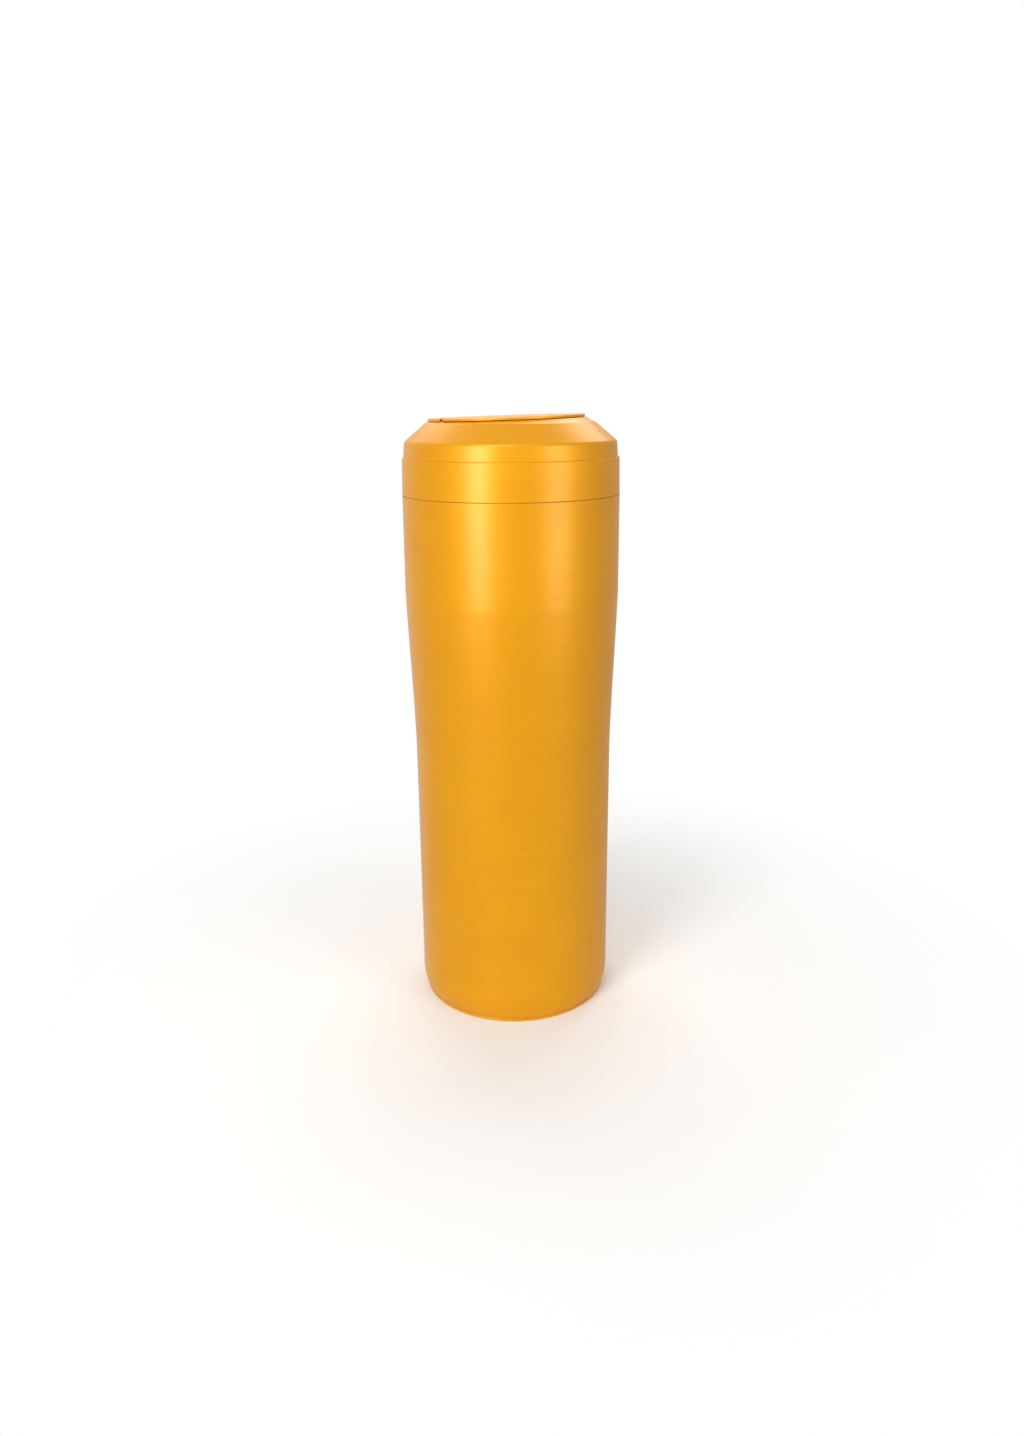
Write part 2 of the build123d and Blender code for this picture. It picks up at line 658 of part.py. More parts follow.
def make_post_tube():
    screws = radial(POST_R, 6, 0, HEAD_SCREW_Z) + radial(POST_R, 6, SCREW_START, CARRIAGE_SCREW_Z)
    with BuildPart() as post_tube:
        with BuildSketch(Plane.XY.offset(POST_Z)):
            Circle(POST_R)
            Circle(POST_BORE_R, mode=Mode.SUBTRACT)
        extrude(amount=POST_TOP - POST_Z)
        for level in band_levels():
            with BuildSketch(Plane.XY.offset(level)):
                Circle(POST_R + PART_GAP)
                Circle(POST_R - BAND_T - SEAT, mode=Mode.SUBTRACT)
            extrude(amount=BAND_L, mode=Mode.SUBTRACT)
        with Locations(*screws):
            CounterSinkHole(M6_R + SEAT, HEAD6_R + PART_GAP, POST_WALL + 2)
    save(post_tube, "post_tube")


def make_reflective_bands():
    with BuildPart() as reflective_bands:
        for level in band_levels():
            with BuildSketch(Plane.XY.offset(level + SEAT)):
                Circle(POST_R - SEAT)
                Circle(POST_R - SEAT - BAND_T, mode=Mode.SUBTRACT)
            extrude(amount=BAND_L - 2 * SEAT)
    save(reflective_bands, "reflective_bands")


def make_post_screws():
    screw = countersunk_screw(M6_R, POST_WALL + TAP_DEPTH - 1.0, HEAD6_R)
    save(group(screw, radial(POST_R - SUNK / 2, 6, 0, HEAD_SCREW_Z)), "head_screws")
    save(group(screw, radial(POST_R - SUNK / 2, 6, SCREW_START, CARRIAGE_SCREW_Z)), "carriage_screws")


def make_carriage():
    with BuildPart() as carriage:
        with BuildSketch(Plane.XY.offset(CARRIAGE_Z)):
            Circle(CARRIAGE_R)
        extrude(amount=CARRIAGE_T)
        chamfer(carriage.edges().filter_by(GeomType.CIRCLE), EDGE_R)
        with BuildSketch(Plane.XY.offset(POST_Z)):
            Circle(POST_BORE_R - SEAT)
            Circle(POST_BORE_R - CARRIAGE_SPIGOT_WALL, mode=Mode.SUBTRACT)
        extrude(amount=CARRIAGE_SPIGOT_H)
        with Locations(*guides(POST_Z)):
            Hole(GUIDE_BUSH_R + SEAT, CARRIAGE_T)
        with Locations((GAS_X, 0, POST_Z), (-GAS_X, 0, POST_Z)):
            Hole(GAS_R + GAS_PORT, CARRIAGE_T)
        with Locations((0, 0, POST_Z)):
            Hole(CAM_POCKET_R, POST_Z - BOLT_Z)
        with BuildSketch(Plane.XZ):
            with Locations((0, BOLT_Z)):
                Circle(BOLT_R + RUN)
        extrude(amount=CARRIAGE_R + 1, both=True, mode=Mode.SUBTRACT)
        with Locations(*radial(POST_BORE_R, 6, SCREW_START, CARRIAGE_SCREW_Z)):
            Hole(M6_R + THREAD, CARRIAGE_SCREW_DEPTH)
    save(carriage, "carriage")


def make_carriage_bushes():
    ring = tube(GUIDE_BUSH_R, GUIDE_ROD_R + RUN, CARRIAGE_T, CARRIAGE_Z).part
    save(group(ring, [Location(place.position) for place in guides()]), "carriage_bushes")


def make_head_casting():
    latch = on_lid(LATCH_U, 0, -LATCH_DEPTH - LATCH_CAM_T - LATCH_ROOM)
    with BuildPart() as head_casting:
        with BuildSketch(Plane.XY.offset(HEAD_Z)):
            Circle(POST_BORE_R - SEAT)
        extrude(amount=HEAD_SPIGOT_H)
        with BuildSketch(Plane.XY.offset(POST_TOP)):
            Circle(HEAD_R)
        extrude(amount=HEAD_BLANK_H)
        with BuildSketch(Plane.XY.offset(FLOOR_Z)):
            Circle(WELL_R)
        extrude(amount=HEAD_SPIGOT_H + HEAD_BLANK_H, mode=Mode.SUBTRACT)
        split(bisect_by=LID_PLANE.offset(-SEAL_T - LID_GAP), keep=Keep.BOTTOM)
        with Locations(latch):
            Cylinder(
                LATCH_REACH + LATCH_ROOM, LATCH_CAM_T + 1.6 * LATCH_ROOM,
                align=BOTTOM, mode=Mode.SUBTRACT,
            )
        with Locations((GAS_X, 0, HEAD_Z), (-GAS_X, 0, HEAD_Z)):
            Cylinder(
                GAS_STUD_R + SEAT, STUD_L + PART_GAP, align=BOTTOM, mode=Mode.SUBTRACT
            )
        with Locations((0, 0, FLOOR_Z)):
            Hole(SHAFT_R + RUN, HEAD_FLOOR_T)
        with Locations(*radial(POST_BORE_R, 6, 0, HEAD_SCREW_Z)):
            Hole(M6_R + THREAD, TAP_DEPTH)
        with Locations(*housing_screw_places(FLOOR_Z)):
            Hole(M4_R + THREAD, TAP_DEPTH)
        with Locations(*lug_screw_places(FLOOR_Z)):
            Hole(M4_R + THREAD, TAP_DEPTH)
        with Locations(*leaf_screw_places(-SEAL_T - LID_GAP)):
            Hole(M4_R + THREAD, TAP_DEPTH)
    save(head_casting, "head_casting")


def make_lid_gasket():
    with BuildPart() as lid_gasket:
        with BuildSketch(LID_PLANE.offset(-SEAL_T - LID_GAP)):
            with Locations((-LID_X, 0)):
                Circle(HEAD_R - SEAL_INSET)
                Circle(WELL_R + SEAL_INSET, mode=Mode.SUBTRACT)
            with Locations((HINGE_U, 0)):
                Rectangle(
                    LEAF_KNUCKLE_HALF, 2 * (TONGUE_HALF + SEAL_INSET), mode=Mode.SUBTRACT
                )
        extrude(amount=SEAL_T)
    save(lid_gasket, "lid_gasket")


# ================================================================ lid hinge
def leaf_screw_places(t):
    """Locations of the screws that hold the hinge's fixed leaf to the head."""
    u = HINGE_U + KNUCKLE_R + LEAF_SCREW_IN
    return [on_lid(u, y, t) for y in (-LEAF_SCREW_Y, LEAF_SCREW_Y)]


def knuckle(span, mode):
    """A hinge barrel along the hinge line over one stretch of it."""
    low, high = span
    start = LID_PLANE.location * Location((HINGE_U, low, KNUCKLE_T), (-90, 0, 0))
    with Locations(start):
        Cylinder(KNUCKLE_R, high - low, align=BOTTOM, mode=mode)


def make_hinge_leaf():
    edge = HINGE_U - LEAF_SETBACK
    low = LID_KNUCKLE_HALF + LID_GAP
    with BuildPart() as hinge_leaf:
        with BuildSketch(LID_PLANE.offset(-LID_GAP)):
            Circle(LID_R)
            with Locations((edge, 0)):
                Rectangle(
                    3 * LID_R, 3 * LID_R, align=(Align.MIN, Align.CENTER), mode=Mode.SUBTRACT
                )
        extrude(amount=LID_T + LID_GAP)
        with BuildSketch(LID_PLANE.offset(-LID_GAP - SEAL_T + SEAT)):
            with Locations((edge - TONGUE_BACK, 0)):
                Rectangle(
                    TONGUE_END - edge + TONGUE_BACK, 2 * TONGUE_HALF,
                    align=(Align.MIN, Align.CENTER),
                )
            with Locations((HINGE_U, 0)):
                Rectangle(2 * (KNUCKLE_R + LIFT_GAP), 2 * low, mode=Mode.SUBTRACT)
            with Locations((-LID_X, 0)):
                Circle(HEAD_R - PART_GAP, mode=Mode.INTERSECT)
        extrude(amount=SEAL_T - SEAT)
        knuckle((low, LEAF_KNUCKLE_HALF), Mode.ADD)
        knuckle((-LEAF_KNUCKLE_HALF, -low), Mode.ADD)
        with Locations(LID_PLANE.location * Location((HINGE_U, 0, KNUCKLE_T), (90, 0, 0))):
            Cylinder(HINGE_PIN_R + RUN, 3 * LEAF_KNUCKLE_HALF, mode=Mode.SUBTRACT)
        with Locations(*leaf_screw_places(-LID_GAP)):
            CounterSinkHole(M4_R + SEAT, LEAF_HEAD_R + SEAT, 2 * SEAL_T)
    save(hinge_leaf, "hinge_leaf")


def make_leaf_screws():
    screw = countersunk_screw(M4_R, SEAL_T + TAP_DEPTH - 1.3, LEAF_HEAD_R)
    save(group(screw, leaf_screw_places(-LID_GAP - SEAT)), "leaf_screws")


def make_hinge_pin():
    with BuildPart() as hinge_pin:
        with Locations(LID_PLANE.location * Location((HINGE_U, 0, KNUCKLE_T), (90, 0, 0))):
            Cylinder(HINGE_PIN_R, 2 * LEAF_KNUCKLE_HALF)
    save(hinge_pin, "hinge_pin")


def make_lid():
    clear = KNUCKLE_R + LID_GAP
    wide = 2 * (LEAF_KNUCKLE_HALF + PART_GAP)
    with BuildPart() as lid:
        with BuildSketch(LID_PLANE):
            Circle(LID_R)
            with Locations((HINGE_U, 0)):
                Rectangle(
                    LID_R, 3 * LID_R, align=(Align.MAX, Align.CENTER), mode=Mode.SUBTRACT
                )
                Rectangle(
                    clear, wide, align=(Align.MIN, Align.CENTER), mode=Mode.SUBTRACT
                )
                Rectangle(
                    clear + 1, 2 * LID_KNUCKLE_HALF, align=(Align.MIN, Align.CENTER)
                )
            with Locations((LATCH_U, 0)):
                Circle(LATCH_R + RUN, mode=Mode.SUBTRACT)
        extrude(amount=LID_T)
        knuckle((-LID_KNUCKLE_HALF, LID_KNUCKLE_HALF), Mode.ADD)
        with Locations(LID_PLANE.location * Location((HINGE_U, 0, KNUCKLE_T), (90, 0, 0))):
            Cylinder(HINGE_PIN_R + RUN, 3 * LID_KNUCKLE_HALF, mode=Mode.SUBTRACT)
        rim = lid.edges().filter_by(GeomType.CIRCLE).group_by(SortBy.RADIUS)[-1]
        fillet(rim, EDGE_R)
    save(lid, "lid")


# ================================================================ lid latch
def make_latch_sleeve():
    with BuildPart() as latch_sleeve:
        with BuildSketch(LID_PLANE):
            with Locations((LATCH_U, 0)):
                Circle(LATCH_R + LATCH_SLEEVE_WALL)
                Circle(LATCH_R + RUN, mode=Mode.SUBTRACT)
        extrude(amount=-LATCH_DEPTH)
    save(latch_sleeve, "latch_sleeve")


def make_latch_plug():
    with BuildPart() as latch_plug:
        with Locations(on_lid(LATCH_U, 0, -LATCH_DEPTH - PART_GAP)):
            Cylinder(LATCH_R, LATCH_DEPTH + PART_GAP + LID_T - SEAT, align=BOTTOM)
        with BuildSketch(LID_PLANE.offset(LID_T - SEAT)):
            with Locations((LATCH_U, 0)):
                Circle(LATCH_R - KEY_WALL)
                RegularPolygon(KEY_R, 3, mode=Mode.SUBTRACT)
        extrude(amount=-LATCH_KEY_DEPTH, mode=Mode.SUBTRACT)
        with Locations(on_lid(LATCH_U, 0, -LATCH_DEPTH - PART_GAP) * UPSIDE_DOWN):
            Hole(M4_R + THREAD, LATCH_KEY_DEPTH - 1.0)
    save(latch_plug, "latch_plug")


def make_latch_cam():
    with BuildPart() as latch_cam:
        with BuildSketch(LID_PLANE.offset(-LATCH_DEPTH - PART_GAP)):
            with Locations((LATCH_U, (LATCH_REACH - LATCH_CAM_HALF) / 2)):
                SlotOverall(LATCH_REACH + LATCH_CAM_HALF, 2 * LATCH_CAM_HALF, rotation=90)
            with Locations((LATCH_U, 0)):
                Circle(LATCH_CAM_HALF + LATCH_ROOM)
                Circle(M4_R + SEAT, mode=Mode.SUBTRACT)
        extrude(amount=-LATCH_CAM_T + PART_GAP)
    save(latch_cam, "latch_cam")


def make_latch_screw():
    place = on_lid(LATCH_U, 0, -LATCH_DEPTH - LATCH_CAM_T) * UPSIDE_DOWN
    save(group(cap_screw(M4_R, LATCH_CAM_T + HEAD4_H, HEAD4_R, HEAD4_H - 1.0), [place]), "latch_screw")


# ================================================================ lock
def housing_screw_places(z):
    """Locations of the lock housing's screws on its flange."""
    return polar(PLUG_R + HOUSING_WALL + HOUSING_SCREW_OUT, 3, 90, z)


def make_lock_housing():
    height = HOUSING_FLOOR_T + PLUG_H + 2.0
    with BuildPart() as lock_housing:
        with BuildSketch(Plane.XY.offset(FLOOR_Z)):
            Circle(HOUSING_FLANGE_R)
        extrude(amount=HOUSING_FLANGE_T)
        with BuildSketch(Plane.XY.offset(FLOOR_Z)):
            Circle(PLUG_R + HOUSING_WALL)
        extrude(amount=height)
        with Locations((0, 0, FLOOR_Z + height)):
            Hole(PLUG_R + RUN, PLUG_H + 2.0)
            Hole(SHAFT_R + RUN, height)
        with Locations(*housing_screw_places(FLOOR_Z + HOUSING_FLANGE_T)):
            Hole(M4_R + SEAT, HOUSING_FLANGE_T)
    save(lock_housing, "lock_housing")


def make_housing_screws():
    screw = cap_screw(M4_R, HOUSING_FLANGE_T + TAP_DEPTH - 1.0, HEAD4_R, HEAD4_H)
    save(group(screw, housing_screw_places(FLOOR_Z + HOUSING_FLANGE_T)), "housing_screws")


def make_key_plug():
    z = FLOOR_Z + HOUSING_FLOOR_T + LIFT_GAP
    with BuildPart() as key_plug:
        with Locations((0, 0, z)):
            Cylinder(PLUG_R, PLUG_H, align=BOTTOM)
        with BuildSketch(Plane.XY.offset(z + PLUG_H)):
            Circle(PLUG_R - KEY_WALL)
            RegularPolygon(KEY_R, 3, mode=Mode.SUBTRACT)
        extrude(amount=-KEY_DEPTH, mode=Mode.SUBTRACT)
        with Locations((0, 0, z)):
            Cylinder(SHAFT_R + SEAT, SHAFT_SOCKET, align=BOTTOM, mode=Mode.SUBTRACT)
    save(key_plug, "key_plug")


def make_lock_shaft():
    low = CAM_Z - CAM_GAP / 2
    high = FLOOR_Z + HOUSING_FLOOR_T + LIFT_GAP + SHAFT_SOCKET - 2 * SEAT
    with BuildPart() as lock_shaft:
        with Locations((0, 0, low)):
            Cylinder(SHAFT_R, high - low, align=BOTTOM)
        with BuildSketch(Plane.XZ):
            with Locations((0, CAM_Z + CAM_T + CAM_HUB_H / 2)):
                Circle(M4_R + THREAD)
        extrude(amount=2 * SHAFT_R, both=True, mode=Mode.SUBTRACT)
    save(lock_shaft, "lock_shaft")


def cam_slot(heading):
    """Edges of a spiral slot, which moves its follower evenly as the disc turns."""
    rate = BOLT_THROW / radians(CAM_TURN)
    half = FOLLOWER_R + LID_GAP
    steps = 8
    inner = []
    outer = []
    ends = []
    for i in range(steps + 1):
        turn = radians(CAM_TURN) * i / steps
        r = FOLLOWER_START + rate * turn
        a = radians(heading) - turn
        wide = half / cos(atan2(rate, r))
        inner.append(((r - wide) * cos(a), (r - wide) * sin(a)))
        outer.append(((r + wide) * cos(a), (r + wide) * sin(a)))
        ends.append((r * cos(a), r * sin(a)))
    return inner, outer, (ends[0], ends[-1])


def make_cam_disc():
    with BuildPart() as cam_disc:
        with BuildSketch(Plane.XY.offset(CAM_Z)):
            Circle(CAM_R)
            for heading in (90.0, 270.0):
                inner, outer, ends = cam_slot(heading)
                with BuildLine():
                    Spline(*inner)
                    Spline(*outer)
                    Line(inner[0], outer[0])
                    Line(inner[-1], outer[-1])
                make_face(mode=Mode.SUBTRACT)
                with Locations(*ends):
                    Circle(FOLLOWER_R + LID_GAP + SEAT, mode=Mode.SUBTRACT)
        extrude(amount=CAM_T)
        with BuildSketch(Plane.XY.offset(CAM_Z + CAM_T)):
            Circle(CAM_HUB_R)
        extrude(amount=CAM_HUB_H)
        with Locations((0, 0, CAM_Z + CAM_T + CAM_HUB_H)):
            Hole(SHAFT_R + SEAT, CAM_T + CAM_HUB_H)
        with BuildSketch(Plane.XZ):
            with Locations((0, CAM_Z + CAM_T + CAM_HUB_H / 2)):
                Circle(M4_R + THREAD)
        extrude(amount=2 * CAM_HUB_R, both=True, mode=Mode.SUBTRACT)
    save(cam_disc, "cam_disc")


def make_cam_pin():
    with BuildPart() as cam_pin:
        with BuildSketch(Plane.XZ):
            with Locations((0, CAM_Z + CAM_T + CAM_HUB_H / 2)):
                Circle(M4_R)
        extrude(amount=CAM_HUB_R - SEAT, both=True)
    save(cam_pin, "cam_pin")


def make_bolts():
    tip = CARRIAGE_R
    for name, heading in (("front", -1), ("back", 1)):
        face = Plane((0, heading * tip, BOLT_Z), z_dir=(0, heading, 0))
        with BuildPart() as bolt:
            with Locations(face.location):
                Cylinder(BOLT_R, tip - BOLT_TAIL, align=TOP)
            chamfer(bolt.edges().filter_by(GeomType.CIRCLE), EDGE_R)
            with Locations((0, heading * FOLLOWER_START, BOLT_Z + BOLT_R)):
                Hole(FOLLOWER_R + THREAD, 1.6 * BOLT_R)
        save(bolt, f"bolt_{name}")
        with BuildPart() as follower_pin:
            with Locations((0, heading * FOLLOWER_START, CAM_Z + CAM_T - LIFT_GAP)):
                Cylinder(FOLLOWER_R, CAM_T + 1.5 * BOLT_R, align=TOP)
        save(follower_pin, f"follower_pin_{name}")


# ================================================================ handle
def lug_screw_places(z):
    """Locations of the screws that hold the handle's two lugs."""
    mid = LUG_X + LUG_T / 2
    return [Location((x, y, z)) for x in (-mid, mid) for y in (-LUG_SCREW_Y, LUG_SCREW_Y)]


def make_lift_handle():
    z = FLOOR_Z + HANDLE_LIFT
    end = LUG_X + LUG_T - 1.0
    start = Plane((-end, 0, z), z_dir=(1, 0, 0))
    with BuildPart() as lift_handle:
        with BuildLine() as path:
            FilletPolyline(
                (-end, 0, z), (-HANDLE_HALF, 0, z), (-HANDLE_HALF, HANDLE_LEG, z),
                (HANDLE_HALF, HANDLE_LEG, z), (HANDLE_HALF, 0, z), (end, 0, z),
                radius=[HANDLE_PIVOT_BEND, HANDLE_BEND, HANDLE_BEND, HANDLE_PIVOT_BEND],
            )
        with BuildSketch(start):
            Circle(HANDLE_R)
        sweep(path=path.wires()[0])
    save(lift_handle, "lift_handle")


def make_handle_lugs():
    with BuildPart() as handle_lugs:
        for x in (-LUG_X - LUG_T, LUG_X):
            with BuildSketch(Plane.YZ.offset(x)):
                with Locations((0, FLOOR_Z + HANDLE_LIFT)):
                    Circle(LUG_EYE_R)
                with Locations((0, FLOOR_Z)):
                    Rectangle(*LUG_FOOT, align=(Align.CENTER, Align.MIN))
                    Rectangle(2 * LUG_EYE_R, HANDLE_LIFT, align=(Align.CENTER, Align.MIN))
                    Rectangle(
                        2 * LUG_EYE_R, LUG_EYE_R, align=(Align.CENTER, Align.MAX),
                        mode=Mode.SUBTRACT,
                    )
                with Locations((0, FLOOR_Z + HANDLE_LIFT)):
                    Circle(HANDLE_R + RUN, mode=Mode.SUBTRACT)
            extrude(amount=LUG_T)
        with Locations(*lug_screw_places(FLOOR_Z + LUG_FOOT[1])):
            Hole(M4_R + SEAT, LUG_FOOT[1])
    save(handle_lugs, "handle_lugs")


def make_lug_screws():
    screw = cap_screw(M4_R, LUG_FOOT[1] + TAP_DEPTH - 1.0, HEAD4_R, HEAD4_H)
    save(group(screw, lug_screw_places(FLOOR_Z + LUG_FOOT[1])), "lug_screws")


os.makedirs("parts", exist_ok=True)
make_casing_shell()
make_base_plate()
make_base_screws()
make_drain_fitting()
make_drain_strainer()
make_guide_rods()
make_rod_screws()
make_buffers_and_collars()
make_keepers()
make_ring_gasket()
make_casing_ring()
make_crown()
make_head_frame()
make_frame_screws()
make_upper_bush()
make_wiper_seal()
make_gas_springs()
make_post_tube()
make_reflective_bands()
make_post_screws()
make_carriage()
make_carriage_bushes()
make_head_casting()
make_lid_gasket()
make_hinge_leaf()
make_leaf_screws()
make_hinge_pin()
make_lid()
make_latch_sleeve()
make_latch_plug()
make_latch_cam()
make_latch_screw()
make_lock_housing()
make_housing_screws()
make_key_plug()
make_lock_shaft()
make_cam_disc()
make_cam_pin()
make_bolts()
make_lift_handle()
make_handle_lugs()
make_lug_screws()
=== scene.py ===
import json
import logging
import math
from dataclasses import dataclass
from enum import Enum
from typing import Sequence

import bmesh
import bpy
from mathutils import Matrix, Vector


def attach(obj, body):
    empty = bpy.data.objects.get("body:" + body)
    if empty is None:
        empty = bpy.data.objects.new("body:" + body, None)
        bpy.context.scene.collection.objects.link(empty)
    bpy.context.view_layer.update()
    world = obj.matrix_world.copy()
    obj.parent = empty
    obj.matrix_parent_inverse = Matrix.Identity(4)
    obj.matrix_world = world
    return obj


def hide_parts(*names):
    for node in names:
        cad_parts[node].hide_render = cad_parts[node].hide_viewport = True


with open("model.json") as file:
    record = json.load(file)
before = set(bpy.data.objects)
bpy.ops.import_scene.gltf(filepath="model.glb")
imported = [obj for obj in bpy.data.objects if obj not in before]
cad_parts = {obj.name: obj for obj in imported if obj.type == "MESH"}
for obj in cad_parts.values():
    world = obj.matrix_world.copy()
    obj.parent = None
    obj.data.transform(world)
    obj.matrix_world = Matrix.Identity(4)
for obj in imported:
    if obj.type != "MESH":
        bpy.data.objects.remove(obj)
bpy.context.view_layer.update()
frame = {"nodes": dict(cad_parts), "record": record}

LOG = logging.getLogger("bollard")
Mesh, Tree, Socket = bmesh.types.BMesh, bpy.types.NodeTree, bpy.types.NodeSocket
Point = tuple[float, float]
MM = 0.001
MIX, MAP = "ShaderNodeMix", "ShaderNodeMapRange"
MATH, VECTOR = "ShaderNodeMath", "ShaderNodeVectorMath"
FINE_RUN, BROAD_RUN = 90.0, 400.0    # how far a turned ring runs before it changes
CLOUD_MM = 70.0      # size of the soft cloudy patches in every finish
SCORE_DEPTH = 0.9    # depth of a scored line against the depth of the other marks
TOUCH = 0.01 * MM    # points nearer than this are one point
TILT = math.radians(1.35)
LID_CENTRE = Vector((-5.05, 0.0, 776.2)) * MM
WELL_FLOOR = 722.0      # the lock and the handle's lugs stand on it
LATCH_U = 61.0          # the latch's place along the lid's slope
HOUSING_SCREW_R = 19.7
LUG_X = 47.5            # middle of a lug
LUG_SCREW_Y = 12.0
SCREW_HOLE_R = 2.1      # clearance hole of an M4 screw
PEG_R = 5.0             # corners of the three-sided pegs


# ---- finishes
class Grain(Enum):
    """How a surface was finished, which decides the marks that are left in it."""

    TURNED = "turned"          # fine rings left by a lathe tool
    BRUSHED = "brushed"        # long hairlines round a tube
    CAST = "cast"              # sand grain with soft hollows
    SPANGLE = "spangle"        # zinc crystals
    MOULDED = "moulded"        # fine even pores of a mould
    GROUND = "ground"          # very fine hairlines


@dataclass(frozen=True)
class Finish:
    """One finish of the bollard: its colour, its gloss and the marks in it.

    Attributes:
        name: Material name, as a maker would say it.
        colour: Base colour, an sRGB hex value.
        worn: Second colour that the clouds and marks lean to, an sRGB hex value.
        metallic: 1 for bare metal, 0 for rubber, plastic and enamel.
        roughness: Mean roughness.
        spread: How far the marks move the roughness to each side of the mean.
        grain: Kind of marks.
        grain_mm: Spacing of the marks across their run.
        depth_mm: Depth of the marks.
        coat: Weight of a clear coat.
        coat_roughness: Roughness of that coat.
        anisotropy: How far the highlight is drawn out across the marks.
        ior: Refractive index, left alone on metals.
        score_mm: Mean distance between thin scored lines; 0 leaves them out.
    """

    name: str
    colour: str
    worn: str
    metallic: float
    roughness: float
    spread: float
    grain: Grain
    grain_mm: float
    depth_mm: float
    coat: float = 0.0
    coat_roughness: float = 0.1
    anisotropy: float = 0.0
    ior: float = 1.5
    score_mm: float = 0.0


SLOT_FINISHES: dict[str, Finish] = {
    # Golden yellow lacquer on a turned tube: soft pale highlights on an even warm colour,
    # with the tool's fine rings just showing through the satin film.
    "yellow_lacquer": Finish(
        "yellow_lacquer_turned", "#F0A400", "#E99D00", 0.30, 0.40, 0.05,
        Grain.TURNED, 1.5, 0.07, coat=0.52, coat_roughness=0.27, anisotropy=0.35, ior=1.2,
        score_mm=30.0,
    ),
    # Brown cork rubber sheet, cut and pressed: a quiet warm line between two tubes.
    "cork_rubber": Finish(
        "cork_rubber_sheet", "#C08420", "#9A6414", 0.0, 0.80, 0.08,
        Grain.CAST, 0.8, 0.040, ior=1.48,
    ),
    # Stainless post tube, ground round with a belt: long soft hairlines, cool grey.
    "stainless_steel": Finish(
        "stainless_steel_brushed", "#B9B8B2", "#A3A29D", 1.0, 0.30, 0.08,
        Grain.BRUSHED, 0.9, 0.005, anisotropy=0.5,
    ),
    # EPDM rubber, moulded and slightly bloomed, so it is never quite black.
    "black_rubber": Finish(
        "epdm_rubber_moulded", "#1C1C1B", "#2A2927", 0.0, 0.78, 0.10,
        Grain.MOULDED, 0.6, 0.030, ior=1.52,
    ),
    # Natural acetal, machined: waxy off-white with faint rings.
    "acetal": Finish(
        "acetal_machined", "#E6E2D6", "#D8D3C4", 0.0, 0.42, 0.06,
        Grain.TURNED, 0.8, 0.012, ior=1.48,
    ),
    # White retroreflective tape: bright film with small sealed cells.
    "reflective_tape": Finish(
        "reflective_tape_white", "#E9ECEE", "#C9CED2", 0.0, 0.24, 0.05,
        Grain.MOULDED, 2.4, 0.020, coat=0.8, coat_roughness=0.08, ior=1.5,
    ),
    # Hot dip galvanised steel: grey spangle, dull and uneven.
    "galvanised_steel": Finish(
        "galvanised_steel_spangled", "#9FA5A8", "#858C90", 1.0, 0.44, 0.12,
        Grain.SPANGLE, 9.0, 0.015,
    ),
    # Sand cast aluminium: open grain, soft grey, brighter where it was faced.
    "cast_aluminium": Finish(
        "aluminium_sand_cast", "#A9ABAC", "#8F9193", 1.0, 0.50, 0.12,
        Grain.CAST, 1.6, 0.090,
    ),
    # Black stoving enamel on the gas cylinders: deep gloss with a slight orange peel.
    "black_enamel": Finish(
        "black_stoving_enamel", "#111214", "#191A1D", 0.0, 0.24, 0.05,
        Grain.MOULDED, 3.0, 0.015, coat=0.6, coat_roughness=0.08, ior=1.52,
    ),
    # Ground hard chrome on rods: mirror-like with hairlines.
    "hard_chrome": Finish(
        "hard_chrome_ground", "#C9CCD0", "#BFC3C8", 1.0, 0.12, 0.04,
        Grain.GROUND, 0.5, 0.003,
    ),
    # Machined brass: warm, with tool rings and a little tarnish.
    "brass": Finish(
        "brass_turned", "#CDA75B", "#A98443", 1.0, 0.27, 0.08,
        Grain.TURNED, 0.9, 0.012, anisotropy=0.4,
    ),
    # Bright zinc plate: pale, slightly yellow passivation clouds.
    "zinc_plate": Finish(
        "zinc_plate_bright", "#C3C3B9", "#B4AF97", 1.0, 0.30, 0.09,
        Grain.GROUND, 0.8, 0.006,
    ),
    # Oiled ground tool steel: dark, with crossing hairlines.
    "tool_steel": Finish(
        "tool_steel_ground", "#77787B", "#5F6063", 1.0, 0.28, 0.08,
        Grain.GROUND, 0.6, 0.006,
    ),
    # Plain stainless screws: bright heads with fine rings.
    "screw_steel": Finish(
        "screw_steel_turned", "#AEAEAE", "#989898", 1.0, 0.30, 0.08,
        Grain.TURNED, 0.5, 0.006,
    ),
}


def linear(code: str) -> tuple[float, float, float, float]:
    """Turn an sRGB hex value to a linear colour.

    Args:
        code: Colour as "#RRGGBB".

    Returns:
        Red, green, blue and alpha, in linear light.
    """
    parts = [int(code[i:i + 2], 16) / 255 for i in (1, 3, 5)]
    low = [p / 12.92 if p <= 0.04045 else ((p + 0.055) / 1.055) ** 2.4 for p in parts]
    return (low[0], low[1], low[2], 1.0)


def add_node(tree: Tree, kind: str, inputs: dict, **settings) -> bpy.types.Node:
    """Add a node, set it and wire its inputs.

    Args:
        tree: Tree to add it to.
        kind: Node type name.
        inputs: Value or source socket for each input, by name or by number.
        settings: Properties of the node.

    Returns:
        The new node.
    """
    node = tree.nodes.new(kind)
    for key, value in settings.items():
        setattr(node, key, value)
    for key, value in inputs.items():
        if isinstance(value, bpy.types.NodeSocket):
            tree.links.new(value, node.inputs[key])
        else:
            node.inputs[key].default_value = value
    return node


